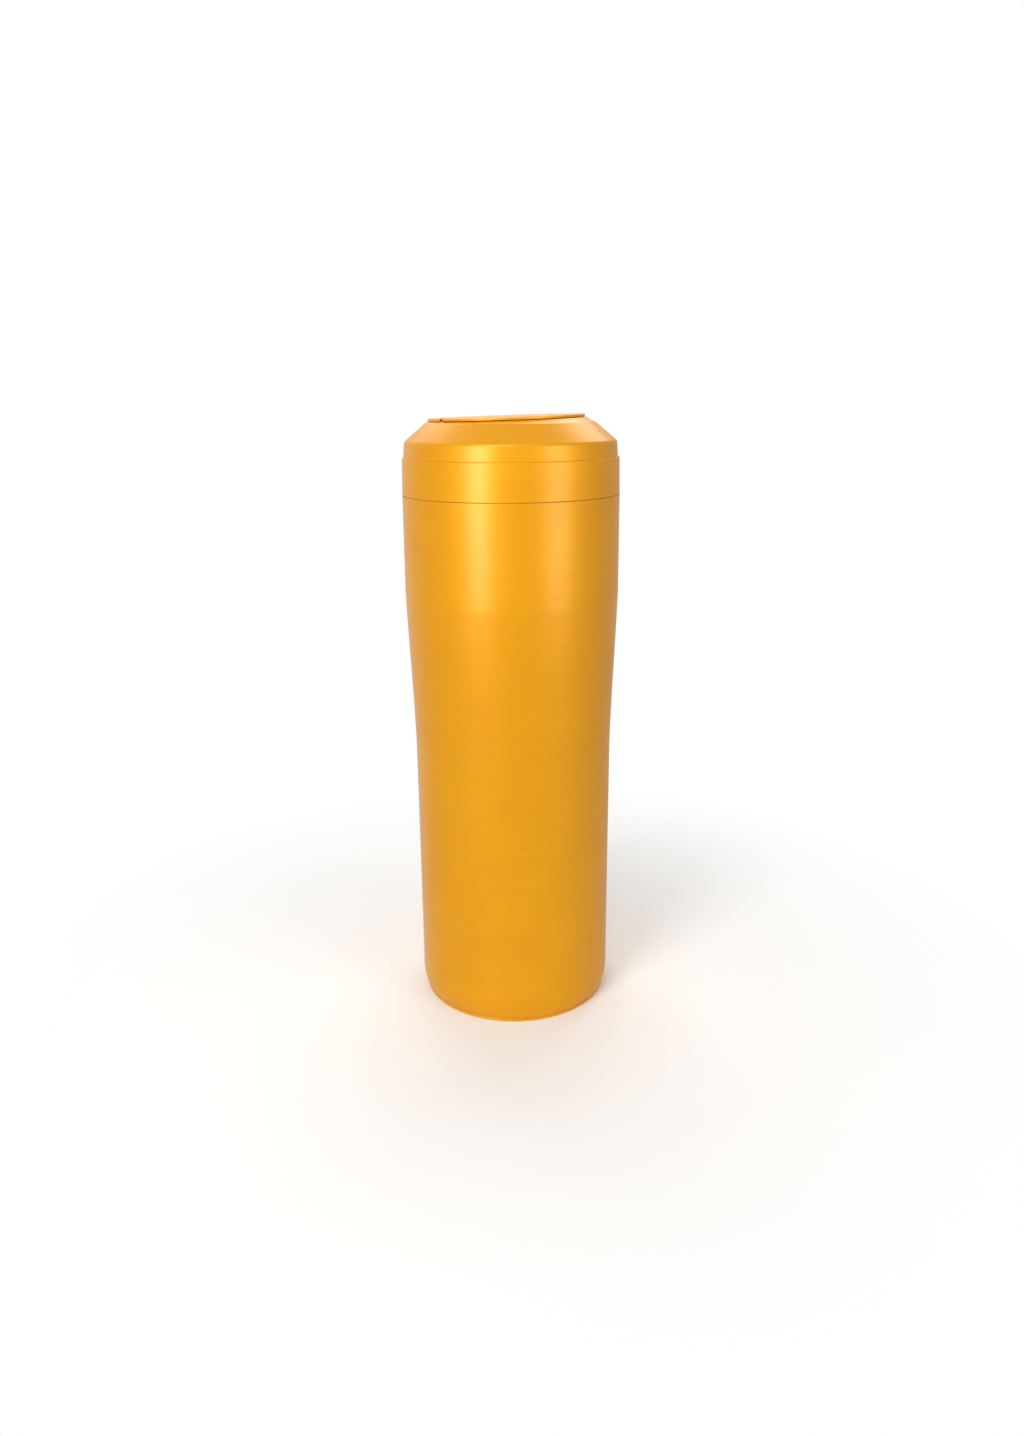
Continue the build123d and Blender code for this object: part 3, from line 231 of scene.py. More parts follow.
def fresh_tree(owner: bpy.types.Material | bpy.types.World) -> Tree:
    """Give a material or a world an empty node tree.

    Args:
        owner: The material or world.

    Returns:
        Its tree.
    """
    owner.use_nodes = True
    owner.node_tree.nodes.clear()
    return owner.node_tree


def to_object(name: str, mesh: Mesh) -> bpy.types.Object:
    """Put a mesh into the scene as an object.

    Args:
        name: The object's name.
        mesh: Its mesh, freed here.

    Returns:
        The object.
    """
    data = bpy.data.meshes.new(name)
    mesh.to_mesh(data)
    mesh.free()
    made = bpy.data.objects.new(name, data)
    bpy.context.scene.collection.objects.link(made)
    return made


class FinishTree:
    """The material of one finish, its patterns laid on the piece's own coordinates."""

    def __init__(self, finish: Finish) -> None:
        """Make the material and its nodes.

        Args:
            finish: The finish to make.
        """
        self.finish = finish
        self.material = bpy.data.materials.new(finish.name)
        self.tree = fresh_tree(self.material)
        self.place = self._wire("ShaderNodeTexCoord", {}, "Object")
        self._build()

    def _wire(self, kind: str, inputs: dict, output: int | str = 0, **settings) -> Socket:
        """Add a node.

        Args:
            kind: Node type name.
            inputs: Value or source socket for each input.
            output: The output wanted, by name or by number.
            settings: Properties of the node.

        Returns:
            That output.
        """
        return add_node(self.tree, kind, inputs, **settings).outputs[output]

    def _build(self) -> None:
        """Lead the patterns to colour, roughness, bump and coat."""
        finish = self.finish
        marks, broad = self._marks()
        clouds = self._noise(CLOUD_MM, 3.0, 0.55)
        drift = self._wire(MIX, {0: 0.7, 2: broad, 3: clouds})
        tone = self._wire(MIX, {0: 0.25, 2: drift, 3: marks})
        lean = self._wire(MAP, {0: tone, 1: 0.35, 2: 0.65})
        colour = self._wire(
            MIX, {"Factor": lean, 6: linear(finish.colour), 7: linear(finish.worn)}, 2,
            data_type="RGBA",
        )
        wear = self._wire(MIX, {0: 0.4, 2: marks, 3: clouds})
        low, high = finish.roughness - finish.spread, finish.roughness + finish.spread
        rough = self._wire(MAP, {0: wear, 1: 0.3, 2: 0.7, 3: low, 4: high})
        height = self._wire(MIX, {0: 0.12, 2: marks, 3: broad})
        if finish.score_mm:
            lines = {0: self._scores(finish.score_mm), 1: -SCORE_DEPTH, 2: height}
            height = self._wire(MATH, lines, operation="MULTIPLY_ADD")
        bump = self._wire(
            "ShaderNodeBump",
            {"Height": height, "Strength": 1.0, "Distance": finish.depth_mm * MM}, "Normal",
        )
        shader = add_node(
            self.tree, "ShaderNodeBsdfPrincipled",
            {"Base Color": colour, "Roughness": rough, "Normal": bump,
             "Metallic": finish.metallic, "Coat Roughness": finish.coat_roughness},
        )
        if finish.metallic < 0.5:
            shader.inputs["IOR"].default_value = finish.ior
        if finish.coat:
            film = self._wire(MIX, {0: 0.2, 2: marks, 3: broad})
            thin, thick = 0.8 * finish.coat, 1.2 * finish.coat
            coat = self._wire(MAP, {0: film, 1: 0.38, 2: 0.62, 3: thin, 4: thick})
            self.tree.links.new(coat, shader.inputs["Coat Weight"])
        if finish.anisotropy:
            shader.inputs["Anisotropic"].default_value = finish.anisotropy
            tangent = self._wire("ShaderNodeTangent", {}, direction_type="RADIAL", axis="Z")
            self.tree.links.new(tangent, shader.inputs["Tangent"])
        add_node(self.tree, "ShaderNodeOutputMaterial", {"Surface": shader.outputs["BSDF"]})

    def _marks(self) -> tuple[Socket, Socket]:
        """Make the finish's marks.

        Returns:
            The fine and the broad pattern, each from 0 to 1.
        """
        grain, size = self.finish.grain, self.finish.grain_mm
        if grain in (Grain.TURNED, Grain.BRUSHED, Grain.GROUND):
            return self._rings(size, FINE_RUN), self._rings(7 * size, BROAD_RUN)
        if grain is Grain.SPANGLE:
            crystals = add_node(
                self.tree, "ShaderNodeTexVoronoi",
                {"Vector": self.place, "Scale": 1 / (size * MM), "Randomness": 1.0},
            ).outputs
            shade = self._wire("ShaderNodeSeparateColor", {0: crystals["Color"]}, "Red")
            return shade, crystals["Distance"]
        detail = 6.0 if grain is Grain.CAST else 2.0
        return self._noise(size, detail), self._noise(8 * size, 2.0)

    def _noise(self, size: float, detail: float, roughness: float = 0.5) -> Socket:
        """Make cloudy noise.

        Args:
            size: Size of its patches in millimetres.
            detail: Number of finer layers.
            roughness: Weight of the finer layers.

        Returns:
            The pattern, from 0 to 1.
        """
        return self._wire("ShaderNodeTexNoise", {
            "Vector": self.place, "Scale": 1 / (size * MM), "Detail": detail,
            "Roughness": roughness,
        }, "Fac")

    def _scores(self, pitch: float) -> Socket:
        """Make a few thin, nearly level scored lines that fade in and out.

        Args:
            pitch: Mean distance between lines in millimetres.

        Returns:
            The lines, from 0 to 1.
        """
        level = self._rings(pitch, 14 * pitch, detail=0.0)
        offset = self._wire(MATH, {0: level, 1: 0.5}, operation="SUBTRACT")
        away = self._wire(MATH, {0: offset}, operation="ABSOLUTE")
        line = self._wire(MAP, {0: away, 1: 0.0, 2: 0.015, 3: 1.0, 4: 0.0})
        shown = self._wire(MAP, {0: self._noise(4 * pitch, 1.0), 1: 0.46, 2: 0.58})
        return self._wire(MATH, {0: line, 1: shown}, operation="MULTIPLY")

    def _rings(self, pitch: float, run: float, detail: float = 3.0) -> Socket:
        """Make rings about the bollard's axis, on walls, cones and flat tops alike.

        Args:
            pitch: Ring spacing in millimetres.
            run: Length over which a ring changes along its run, in millimetres.
            detail: Finer layers in the pattern.

        Returns:
            The pattern, from 0 to 1.
        """
        axes = add_node(self.tree, "ShaderNodeSeparateXYZ", {0: self.place}).outputs
        flat = self._wire("ShaderNodeCombineXYZ", {0: axes["X"], 1: axes["Y"]})
        radius = self._wire(VECTOR, {0: flat}, "Value", operation="LENGTH")
        climb = self._wire(MATH, {0: radius, 1: -0.5, 2: axes["Z"]}, operation="MULTIPLY_ADD")
        across = self._wire(MATH, {0: climb, 1: 1 / (pitch * MM)}, operation="MULTIPLY")
        along = self._wire(
            VECTOR, {0: flat, 1: (1 / (run * MM), 1 / (run * MM), 0.0)}, operation="MULTIPLY"
        )
        lift = self._wire("ShaderNodeCombineXYZ", {2: across})
        point = self._wire(VECTOR, {0: along, 1: lift}, operation="ADD")
        return self._wire("ShaderNodeTexNoise", {
            "Vector": point, "Scale": 1.0, "Detail": detail, "Roughness": 0.6,
        }, "Fac")


class FinishShop:
    """Makes one material for each finish and keeps it for the next piece."""

    def __init__(self) -> None:
        """Start with no material made."""
        self.made: dict[str, bpy.types.Material] = {}

    def get(self, slot: str) -> bpy.types.Material:
        """Return the material of a slot, making it the first time.

        Args:
            slot: Material slot.

        Returns:
            Its material.
        """
        if slot not in self.made:
            self.made[slot] = FinishTree(SLOT_FINISHES[slot]).material
        return self.made[slot]


# ---- mesh work
@dataclass
class Corner:
    """A ring edge that is rounded over, in millimetres."""

    at: Point
    radius: float
    segments: int = 3


class Turning:
    """Turns outlines about the bollard's axis, and finishes any mesh as a piece.

    Attributes:
        steps: Faces in a full turn.
        sharp: Edges that turn more than this stay crisp.
    """

    steps: int = 192
    sharp: float = math.radians(32.0)

    def __init__(self, shop: FinishShop) -> None:
        """Keep the finish shop that dresses the pieces."""
        self.shop = shop

    def spin(self, outline: Sequence[Point], corners: Sequence[Corner] = ()) -> Mesh:
        """Turn a closed outline a full turn about the axis and round its corners.

        Args:
            outline: Radius and height of each point, in millimetres.
            corners: Ring edges to round over.

        Returns:
            The turned solid, in metres.
        """
        mesh = bmesh.new()
        points = [mesh.verts.new((r * MM, 0.0, z * MM)) for r, z in outline]
        lines = [mesh.edges.new((a, b)) for a, b in zip(points, points[1:] + points[:1])]
        bmesh.ops.spin(
            mesh, geom=points + lines, cent=(0, 0, 0), axis=(0, 0, 1), dvec=(0, 0, 0),
            angle=2 * math.pi, steps=self.steps, use_merge=True, use_normal_flip=False,
            use_duplicate=False,
        )
        bmesh.ops.remove_doubles(mesh, verts=mesh.verts, dist=TOUCH)
        for corner in corners:
            self.round_ring(mesh, corner)
        bmesh.ops.recalc_face_normals(mesh, faces=mesh.faces)
        return mesh

    def round_ring(self, mesh: Mesh, corner: Corner) -> None:
        """Round over one ring edge of a turned solid.

        Args:
            mesh: The turned solid.
            corner: The ring's radius and height, and its rounding.
        """
        radius, height = corner.at[0] * MM, corner.at[1] * MM
        ring = [
            e for e in mesh.edges
            if all(
                abs(v.co.z - height) < 2 * TOUCH and abs(v.co.xy.length - radius) < 2 * TOUCH
                for v in e.verts
            )
        ]
        if not ring:
            raise ValueError(f"no ring at {corner.at}")
        bevel(mesh, ring, corner.radius * MM, corner.segments)

    def piece(self, node: str, made_by: str, mesh: Mesh, body: str, slot: str) -> None:
        """Turn a finished mesh to an object, dress it and tie it to its body.

        Args:
            node: CAD node that it stands for.
            made_by: How it is made, the last word of its name.
            mesh: Its mesh, freed here.
            body: CAD body that it rides on.
            slot: Material slot that it takes its finish from.
        """
        bmesh.ops.recalc_face_normals(mesh, faces=mesh.faces)
        for face in mesh.faces:
            face.smooth = True
        for edge in mesh.edges:
            if len(edge.link_faces) == 2:
                edge.smooth = edge.calc_face_angle(0.0) < self.sharp
        made = to_object(f"{node}_{made_by}", mesh)
        made.data.materials.append(self.shop.get(slot))
        even_normals(made)
        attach(made, body)
        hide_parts(node)
        LOG.info("%s rides on %s, %d faces", made.name, body, len(made.data.polygons))


def even_normals(made: bpy.types.Object) -> None:
    """Let each flat or long face set the shading at its edges, so that it stays even.

    Args:
        made: Object whose mesh is replaced by one with these normals.
    """
    weigh = made.modifiers.new("even", "WEIGHTED_NORMAL")
    weigh.keep_sharp = True
    graph = bpy.context.evaluated_depsgraph_get()
    graph.update()
    baked = bpy.data.meshes.new_from_object(made.evaluated_get(graph))
    made.modifiers.clear()
    old = made.data
    made.data = baked
    bpy.data.meshes.remove(old)
    baked.name = made.name


def bevel(mesh: Mesh, edges: Sequence, width: float, segments: int) -> None:
    """Round over edges.

    Args:
        mesh: Mesh to work on.
        edges: Edges to round.
        width: Width of the rounding in metres.
        segments: Faces across the rounding.
    """
    bmesh.ops.bevel(
        mesh, geom=list(edges), offset=width, offset_type="OFFSET", segments=segments,
        profile=0.5, affect="EDGES", material=-1, clamp_overlap=True,
    )


def crisp_edges(mesh: Mesh, degrees: float = 35.0) -> list:
    """Edges where two faces meet at an angle.

    Args:
        mesh: Mesh to look through.
        degrees: Least angle.

    Returns:
        The edges.
    """
    limit = math.radians(degrees)
    return [
        e for e in mesh.edges
        if len(e.link_faces) == 2 and e.calc_face_angle(0.0) > limit
    ]


def arc(start: Point, middle: Point, end: Point, count: int) -> list[Point]:
    """Points along the circle through three points.

    Args:
        start: First point.
        middle: A point between them.
        end: Last point.
        count: Number of steps.

    Returns:
        count + 1 points from start to end.
    """
    (ax, ay), (bx, by), (cx, cy) = start, middle, end
    d = 2 * (ax * (by - cy) + bx * (cy - ay) + cx * (ay - by))
    a2, b2, c2 = ax * ax + ay * ay, bx * bx + by * by, cx * cx + cy * cy
    ux = (a2 * (by - cy) + b2 * (cy - ay) + c2 * (ay - by)) / d
    uy = (a2 * (cx - bx) + b2 * (ax - cx) + c2 * (bx - ax)) / d
    first = math.atan2(ay - uy, ax - ux)
    sweep = math.atan2(cy - uy, cx - ux) - first
    sweep = (sweep + math.pi) % (2 * math.pi) - math.pi
    radius = math.hypot(ax - ux, ay - uy)
    turns = [first + sweep * i / count for i in range(count + 1)]
    return [(ux + radius * math.cos(t), uy + radius * math.sin(t)) for t in turns]


def bezier(points: Sequence[Point], count: int) -> list[Point]:
    """Points along a cubic curve.

    Args:
        points: Start, two handles and end.
        count: Number of steps.

    Returns:
        count + 1 points from start to end.
    """
    result = []
    for i in range(count + 1):
        t = i / count
        s = 1 - t
        weights = (s ** 3, 3 * s * s * t, 3 * s * t * t, t ** 3)
        result.append((
            sum(w * p[0] for w, p in zip(weights, points)),
            sum(w * p[1] for w, p in zip(weights, points)),
        ))
    return result


def lid_matrix() -> Matrix:
    """The lid's sloping plane: its centre, on the lid's underside."""
    return Matrix.Translation(LID_CENTRE) @ Matrix.Rotation(-TILT, 4, "Y")


def cut_along_lid(mesh: Mesh, drop: float) -> list:
    """Cut a turned wall off along the lid's slope and close it with a flat rim.

    Args:
        mesh: The turned solid.
        drop: How far the cut lies under the lid, in millimetres.

    Returns:
        The rim's edges.
    """
    plane = lid_matrix()
    cut = bmesh.ops.bisect_plane(
        mesh, geom=mesh.verts[:] + mesh.edges[:] + mesh.faces[:], dist=0.1 * TOUCH,
        plane_co=plane @ Vector((0, 0, -drop * MM)),
        plane_no=plane.to_3x3() @ Vector((0, 0, 1)), clear_outer=True,
    )
    rim = [e for e in cut["geom_cut"] if isinstance(e, bmesh.types.BMEdge)]
    bmesh.ops.bridge_loops(mesh, edges=rim)
    return rim


def housing_screws() -> list[Point]:
    """Where the lock housing's three screws stand round the axis."""
    turns = [math.radians(90.0 + 120.0 * i) for i in range(3)]
    return [(HOUSING_SCREW_R * math.cos(t), HOUSING_SCREW_R * math.sin(t)) for t in turns]


def join(target: Mesh, other: Mesh) -> None:
    """Add another mesh's shells to a mesh.

    Args:
        target: Mesh that takes them.
        other: The other mesh, freed here.
    """
    data = bpy.data.meshes.new("joined")
    other.to_mesh(data)
    other.free()
    target.from_mesh(data)
    bpy.data.meshes.remove(data)


def carve(body: Mesh, *cutters: Mesh, operation: str = "DIFFERENCE") -> Mesh:
    """Cut a closed mesh with others, one after another.

    Args:
        body: Mesh to keep, freed here.
        cutters: Meshes to cut with, freed here.
        operation: DIFFERENCE or UNION.

    Returns:
        The cut mesh.
    """
    for cutter in cutters:
        pair = []
        for label, mesh in (("carve_body", body), ("carve_cutter", cutter)):
            bmesh.ops.recalc_face_normals(mesh, faces=mesh.faces)
            pair.append(to_object(label, mesh))
        cut = pair[0].modifiers.new("cut", "BOOLEAN")
        cut.object = pair[1]
        cut.operation = operation
        cut.solver = "EXACT"
        graph = bpy.context.evaluated_depsgraph_get()
        graph.update()
        body = bmesh.new()
        body.from_mesh(pair[0].evaluated_get(graph).to_mesh())
        for made in pair:
            data = made.data
            bpy.data.objects.remove(made)
            bpy.data.meshes.remove(data)
    return body


# ---- casing
@dataclass
class Casing:
    """The yellow casing: shell, joint line, ring and the foot's rim."""

    turning: Turning
    foot_r: float = 125.6
    lower_r: float = 130.2
    upper_r: float = 137.6
    wall: float = 4.0
    foot_z: float = 4.4
    foot_round: float = 34.0
    foot_bulge: Point = (1.24, 15.8)
    swage: Point = (340.0, 562.0)
    swage_pull: Point = (60.0, 80.0)
    swage_inset: float = 2.4
    rows: Sequence[float] = (110.0, 190.0, 270.0)
    top: float = 684.8
    joint: float = 1.0
    ring_top: float = 730.6
    ledge: float = 697.0
    seat_r: float = 116.0
    ring_bore: float = 132.0
    lean: float = 0.5
    ring_lean: float = 1.5
    edge: float = 0.15
    step_edge: float = 1.0

    def build(self) -> None:
        """Make every piece of the casing that shows."""
        self.shell()
        self.joint_line()
        self.ring()

    def side(self, inset: float) -> list[Point]:
        """The shell's side from foot to top.

        Args:
            inset: How far it is moved in, in millimetres.

        Returns:
            Its points, upward.
        """
        low, high = self.swage
        foot = arc(
            (self.foot_r, self.foot_z), (self.lower_r - self.foot_bulge[0], self.foot_bulge[1]),
            (self.lower_r, self.foot_round), 10,
        )
        rise = bezier(
            ((self.lower_r, low), (self.lower_r, low + self.swage_pull[0]),
             (self.upper_r - self.swage_inset, high - self.swage_pull[1]),
             (self.upper_r, high)), 36,
        )
        walls = [(self.lower_r, z) for z in self.rows]
        top = [(self.upper_r - self.lean, self.top)]
        return [(r - inset, z) for r, z in foot + walls + rise + top]

    def shell(self) -> None:
        """Foot, lower tube, swage and upper band in one turned wall."""
        outer, inner = self.side(0.0), self.side(self.wall)
        mesh = self.turning.spin(
            outer + inner[::-1],
            [Corner(outer[-1], self.edge, 4), Corner(outer[0], 0.6, 3), Corner(inner[-1], 0.4, 2)],
        )
        self.turning.piece("casing_shell", "turned", mesh, "casing", "yellow_lacquer")

    def joint_line(self) -> None:
        """The cork gasket between shell and ring, nearly flush: a thin line all round."""
        low, high = self.top, self.top + self.joint
        outer = self.upper_r - self.lean - 0.05
        mesh = self.turning.spin(
            [(self.seat_r, low), (outer, low), (outer, high), (self.seat_r, high)],
            [Corner((outer, z), 0.1, 2) for z in (low, high)],
        )
        self.turning.piece("ring_gasket", "pressed", mesh, "casing", "cork_rubber")

    def ring(self) -> None:
        """The plain ring between the joint line and the crown's step."""
        low, high = self.top + self.joint, self.ring_top
        bottom_r, top_r = self.upper_r - self.lean, self.upper_r - self.ring_lean
        outline = [
            (self.seat_r, low), (bottom_r, low), (top_r, high), (self.ring_bore, high),
            (self.ring_bore, self.ledge), (self.seat_r, self.ledge),
        ]
        mesh = self.turning.spin(
            outline,
            [Corner((bottom_r, low), self.edge, 4), Corner((top_r, high), self.step_edge, 6)],
        )
        self.turning.piece("casing_ring", "turned", mesh, "casing", "yellow_lacquer")


@dataclass
class Crown:
    """The crown: stepped band, cone and flared neck, cut off along the lid's slope."""

    turning: Turning
    step_z: float = 730.6
    shoulder: Point = (132.8, 749.6)
    band_r: float = 134.2
    cone_top: Point = (105.6, 772.3)
    neck_r: float = 94.0
    flare: Point = (5.0, 2.7)
    flare_high: float = 6.3
    blank: float = 784.3
    under: Sequence[Point] = (
        (131.9, 730.6), (131.9, 716.0), (128.2, 716.0), (128.2, 741.6), (112.2, 757.6),
        (112.2, 735.4), (96.25, 735.4), (96.25, 744.0), (86.0, 744.0), (86.0, 751.6),
        (90.0, 751.6),
    )
    rim_gap: float = 0.7

    def build(self) -> None:
        """Turn the crown from a tall blank and cut it off under the lid."""
        low = self.cone_top[1]
        flare = arc(
            (self.neck_r, low + self.flare_high),
            (self.neck_r + self.flare[0], low + self.flare[1]), self.cone_top, 8,
        )
        outline = [
            self.shoulder, (self.band_r, self.step_z), *self.under,
            (self.under[-1][0], self.blank), (self.neck_r, self.blank), *flare,
        ]
        mesh = self.turning.spin(
            outline,
            [
                Corner(self.shoulder, 2.4, 6), Corner((self.band_r, self.step_z), 0.3, 4),
                Corner(self.cone_top, 0.5, 3),
            ],
        )
        cut_along_lid(mesh, self.rim_gap)
        self.turning.piece("crown", "turned", mesh, "casing", "yellow_lacquer")


# ---- lid
def slab(size: Sequence[float], centre: Sequence[float]) -> Mesh:
    """A closed block.

    Args:
        size: Its sides, in millimetres.
        centre: Its centre, in millimetres.

    Returns:
        The block, in metres.
    """
    mesh = bmesh.new()
    bmesh.ops.create_cube(
        mesh, size=1.0,
        matrix=Matrix.Translation(Vector(centre) * MM) @ Matrix.Diagonal(
            [side * MM for side in size] + [1.0]
        ),
    )
    return mesh


def rod(
    radius: float, start: Sequence[float], end: Sequence[float], sides: int = 48,
    end_radius: float | None = None,
) -> Mesh:
    """A closed cylinder or cone between two points.

    Args:
        radius: Radius at the start, in millimetres.
        start: First end's centre, in millimetres.
        end: Other end's centre, in millimetres.
        sides: Number of sides.
        end_radius: Radius at the other end, if it differs.

    Returns:
        The solid, in metres.
    """
    first, last = Vector(start) * MM, Vector(end) * MM
    run = last - first
    mesh = bmesh.new()
    bmesh.ops.create_cone(
        mesh, cap_ends=True, segments=sides, radius1=radius * MM,
        radius2=(radius if end_radius is None else end_radius) * MM, depth=run.length,
        matrix=Matrix.Translation((first + last) / 2)
        @ Vector((0, 0, 1)).rotation_difference(run).to_matrix().to_4x4(),
    )
    return mesh


def key_socket(
    turning: Turning, radius: float, low: float, high: float, depth: float, recess: float
) -> Mesh:
    """A plug with a three-sided peg standing in a round recess.

    Args:
        turning: Lathe to turn it on.
        radius: Plug's radius in millimetres.
        low: Its lower end.
        high: Its upper end.
        depth: Depth of the recess.
        recess: Radius of the recess.

    Returns:
        The plug about the vertical axis, in metres.
    """
    floor = high - depth
    mesh = turning.spin(
        [(0.0, low), (radius, low), (radius, high), (recess, high), (recess, floor),
         (0.0, floor)],
        [Corner((radius, high), 0.5, 3), Corner((recess, high), 0.4, 3),
         Corner((radius, low), 0.4, 2)],
    )
    peg = bmesh.new()
    bmesh.ops.create_cone(
        peg, cap_ends=True, segments=3, radius1=PEG_R * MM, radius2=PEG_R * MM,
        depth=(depth + 1.0) * MM,
        matrix=Matrix.Translation((0, 0, (high + floor - 1.0) / 2 * MM))
        @ Matrix.Rotation(math.radians(-90.0), 4, "Z"),
    )
    bevel(peg, crisp_edges(peg), 0.35 * MM, 3)
    return carve(mesh, peg, operation="UNION")


@dataclass
class Lid:
    """The lid, the hinge's fixed leaf and the key-worked latch, drawn on the lid's plane."""

    turning: Turning
    radius: float = 97.75
    thick: float = 3.1
    hinge_u: float = -76.0
    knuckle: Point = (2.1, 1.0)
    leaf_setback: float = 3.0
    lid_half: float = 12.0
    leaf_half: float = 28.0
    leaf_screw: Point = (6.7, 20.0)
    pin_r: float = 1.15
    plug_r: float = 9.0
    edge: float = 0.8

    def build(self) -> None:
        """Make the lid, the leaf and the latch plug."""
        self.plate()
        self.leaf()
        self.plug()

    def disc(self, low: float) -> Mesh:
        """A thin round disc with rounded rims, as high as the lid's top.

        Args:
            low: Its lower level, in millimetres.

        Returns:
            The disc, in metres.
        """
        return self.turning.spin(
            [(0.0, low), (self.radius, low), (self.radius, self.thick), (0.0, self.thick)],
            [Corner((self.radius, low), self.edge, 3),
             Corner((self.radius, self.thick), self.edge, 4)],
        )

    def barrel(self, low: float, high: float, radius: float) -> Mesh:
        """A stretch of the hinge's barrel or bore along the hinge line."""
        level = self.knuckle[1]
        return rod(radius, (self.hinge_u, low, level), (self.hinge_u, high, level), 40)

    def place(self, mesh: Mesh) -> Mesh:
        """Move a mesh drawn on the lid's plane to where the lid lies."""
        bmesh.ops.transform(mesh, matrix=lid_matrix(), verts=mesh.verts)
        return mesh

    def plate(self) -> None:
        """The lid itself: disc, straight hinge edge, barrel and latch hole."""
        clear = self.knuckle[0] + 0.3
        wide = self.leaf_half + 0.5 - self.lid_half
        mid = self.lid_half + wide / 2
        mesh = carve(
            self.disc(0.0),
            slab((60.0, 260.0, 20.0), (self.hinge_u - 30.0, 0.0, 0.0)),
            *(slab((2 * clear, wide, 20.0), (self.hinge_u, y, 0.0)) for y in (-mid, mid)),
            rod(self.plug_r + 0.05, (LATCH_U, 0, -9), (LATCH_U, 0, 9), 96),
        )
        barrel = self.barrel(-self.lid_half, self.lid_half, self.knuckle[0])
        mesh = carve(mesh, barrel, operation="UNION")
        mesh = carve(mesh, self.barrel(-40.0, 40.0, self.pin_r))
        self.turning.piece("lid", "turned", self.place(mesh), "lid", "yellow_lacquer")

    def leaf(self) -> None:
        """The fixed leaf: the rest of the round behind the hinge, two barrels, a tongue."""
        edge = self.hinge_u - self.leaf_setback
        inner = self.lid_half + 0.3
        mesh = carve(self.disc(-0.3), slab((300.0, 260.0, 20.0), (edge + 150.0, 0.0, 0.0)))
        tongue = slab((16.0, 2 * self.leaf_half, 2.3), (edge + 4.5, 0.0, -1.4))
        mesh = carve(mesh, tongue, operation="UNION")
        mesh = carve(mesh, slab((5.0, 2 * inner, 9.0), (self.hinge_u, 0.0, -1.4)))
        for side in (-1, 1):
            low, high = sorted((side * inner, side * self.leaf_half))
            mesh = carve(mesh, self.barrel(low, high, self.knuckle[0]), operation="UNION")
            x, y = self.hinge_u + self.leaf_screw[0], side * self.leaf_screw[1]
            sink = rod(SCREW_HOLE_R, (x, y, -1.6), (x, y, -0.28), 32, 3.7)
            mesh = carve(mesh, sink, rod(SCREW_HOLE_R, (x, y, -4.0), (x, y, -1.5), 32))
        mesh = carve(mesh, self.barrel(-40.0, 40.0, self.pin_r))
        self.turning.piece("hinge_leaf", "folded", self.place(mesh), "post", "yellow_lacquer")

    def plug(self) -> None:
        """The latch's plug with its three-sided peg, flush with the lid."""
        mesh = key_socket(self.turning, self.plug_r, -10.5, 3.0, 7.0, 6.5)
        bmesh.ops.translate(mesh, vec=(LATCH_U * MM, 0, 0), verts=mesh.verts)
        self.turning.piece("latch_plug", "turned", self.place(mesh), "latch", "brass")


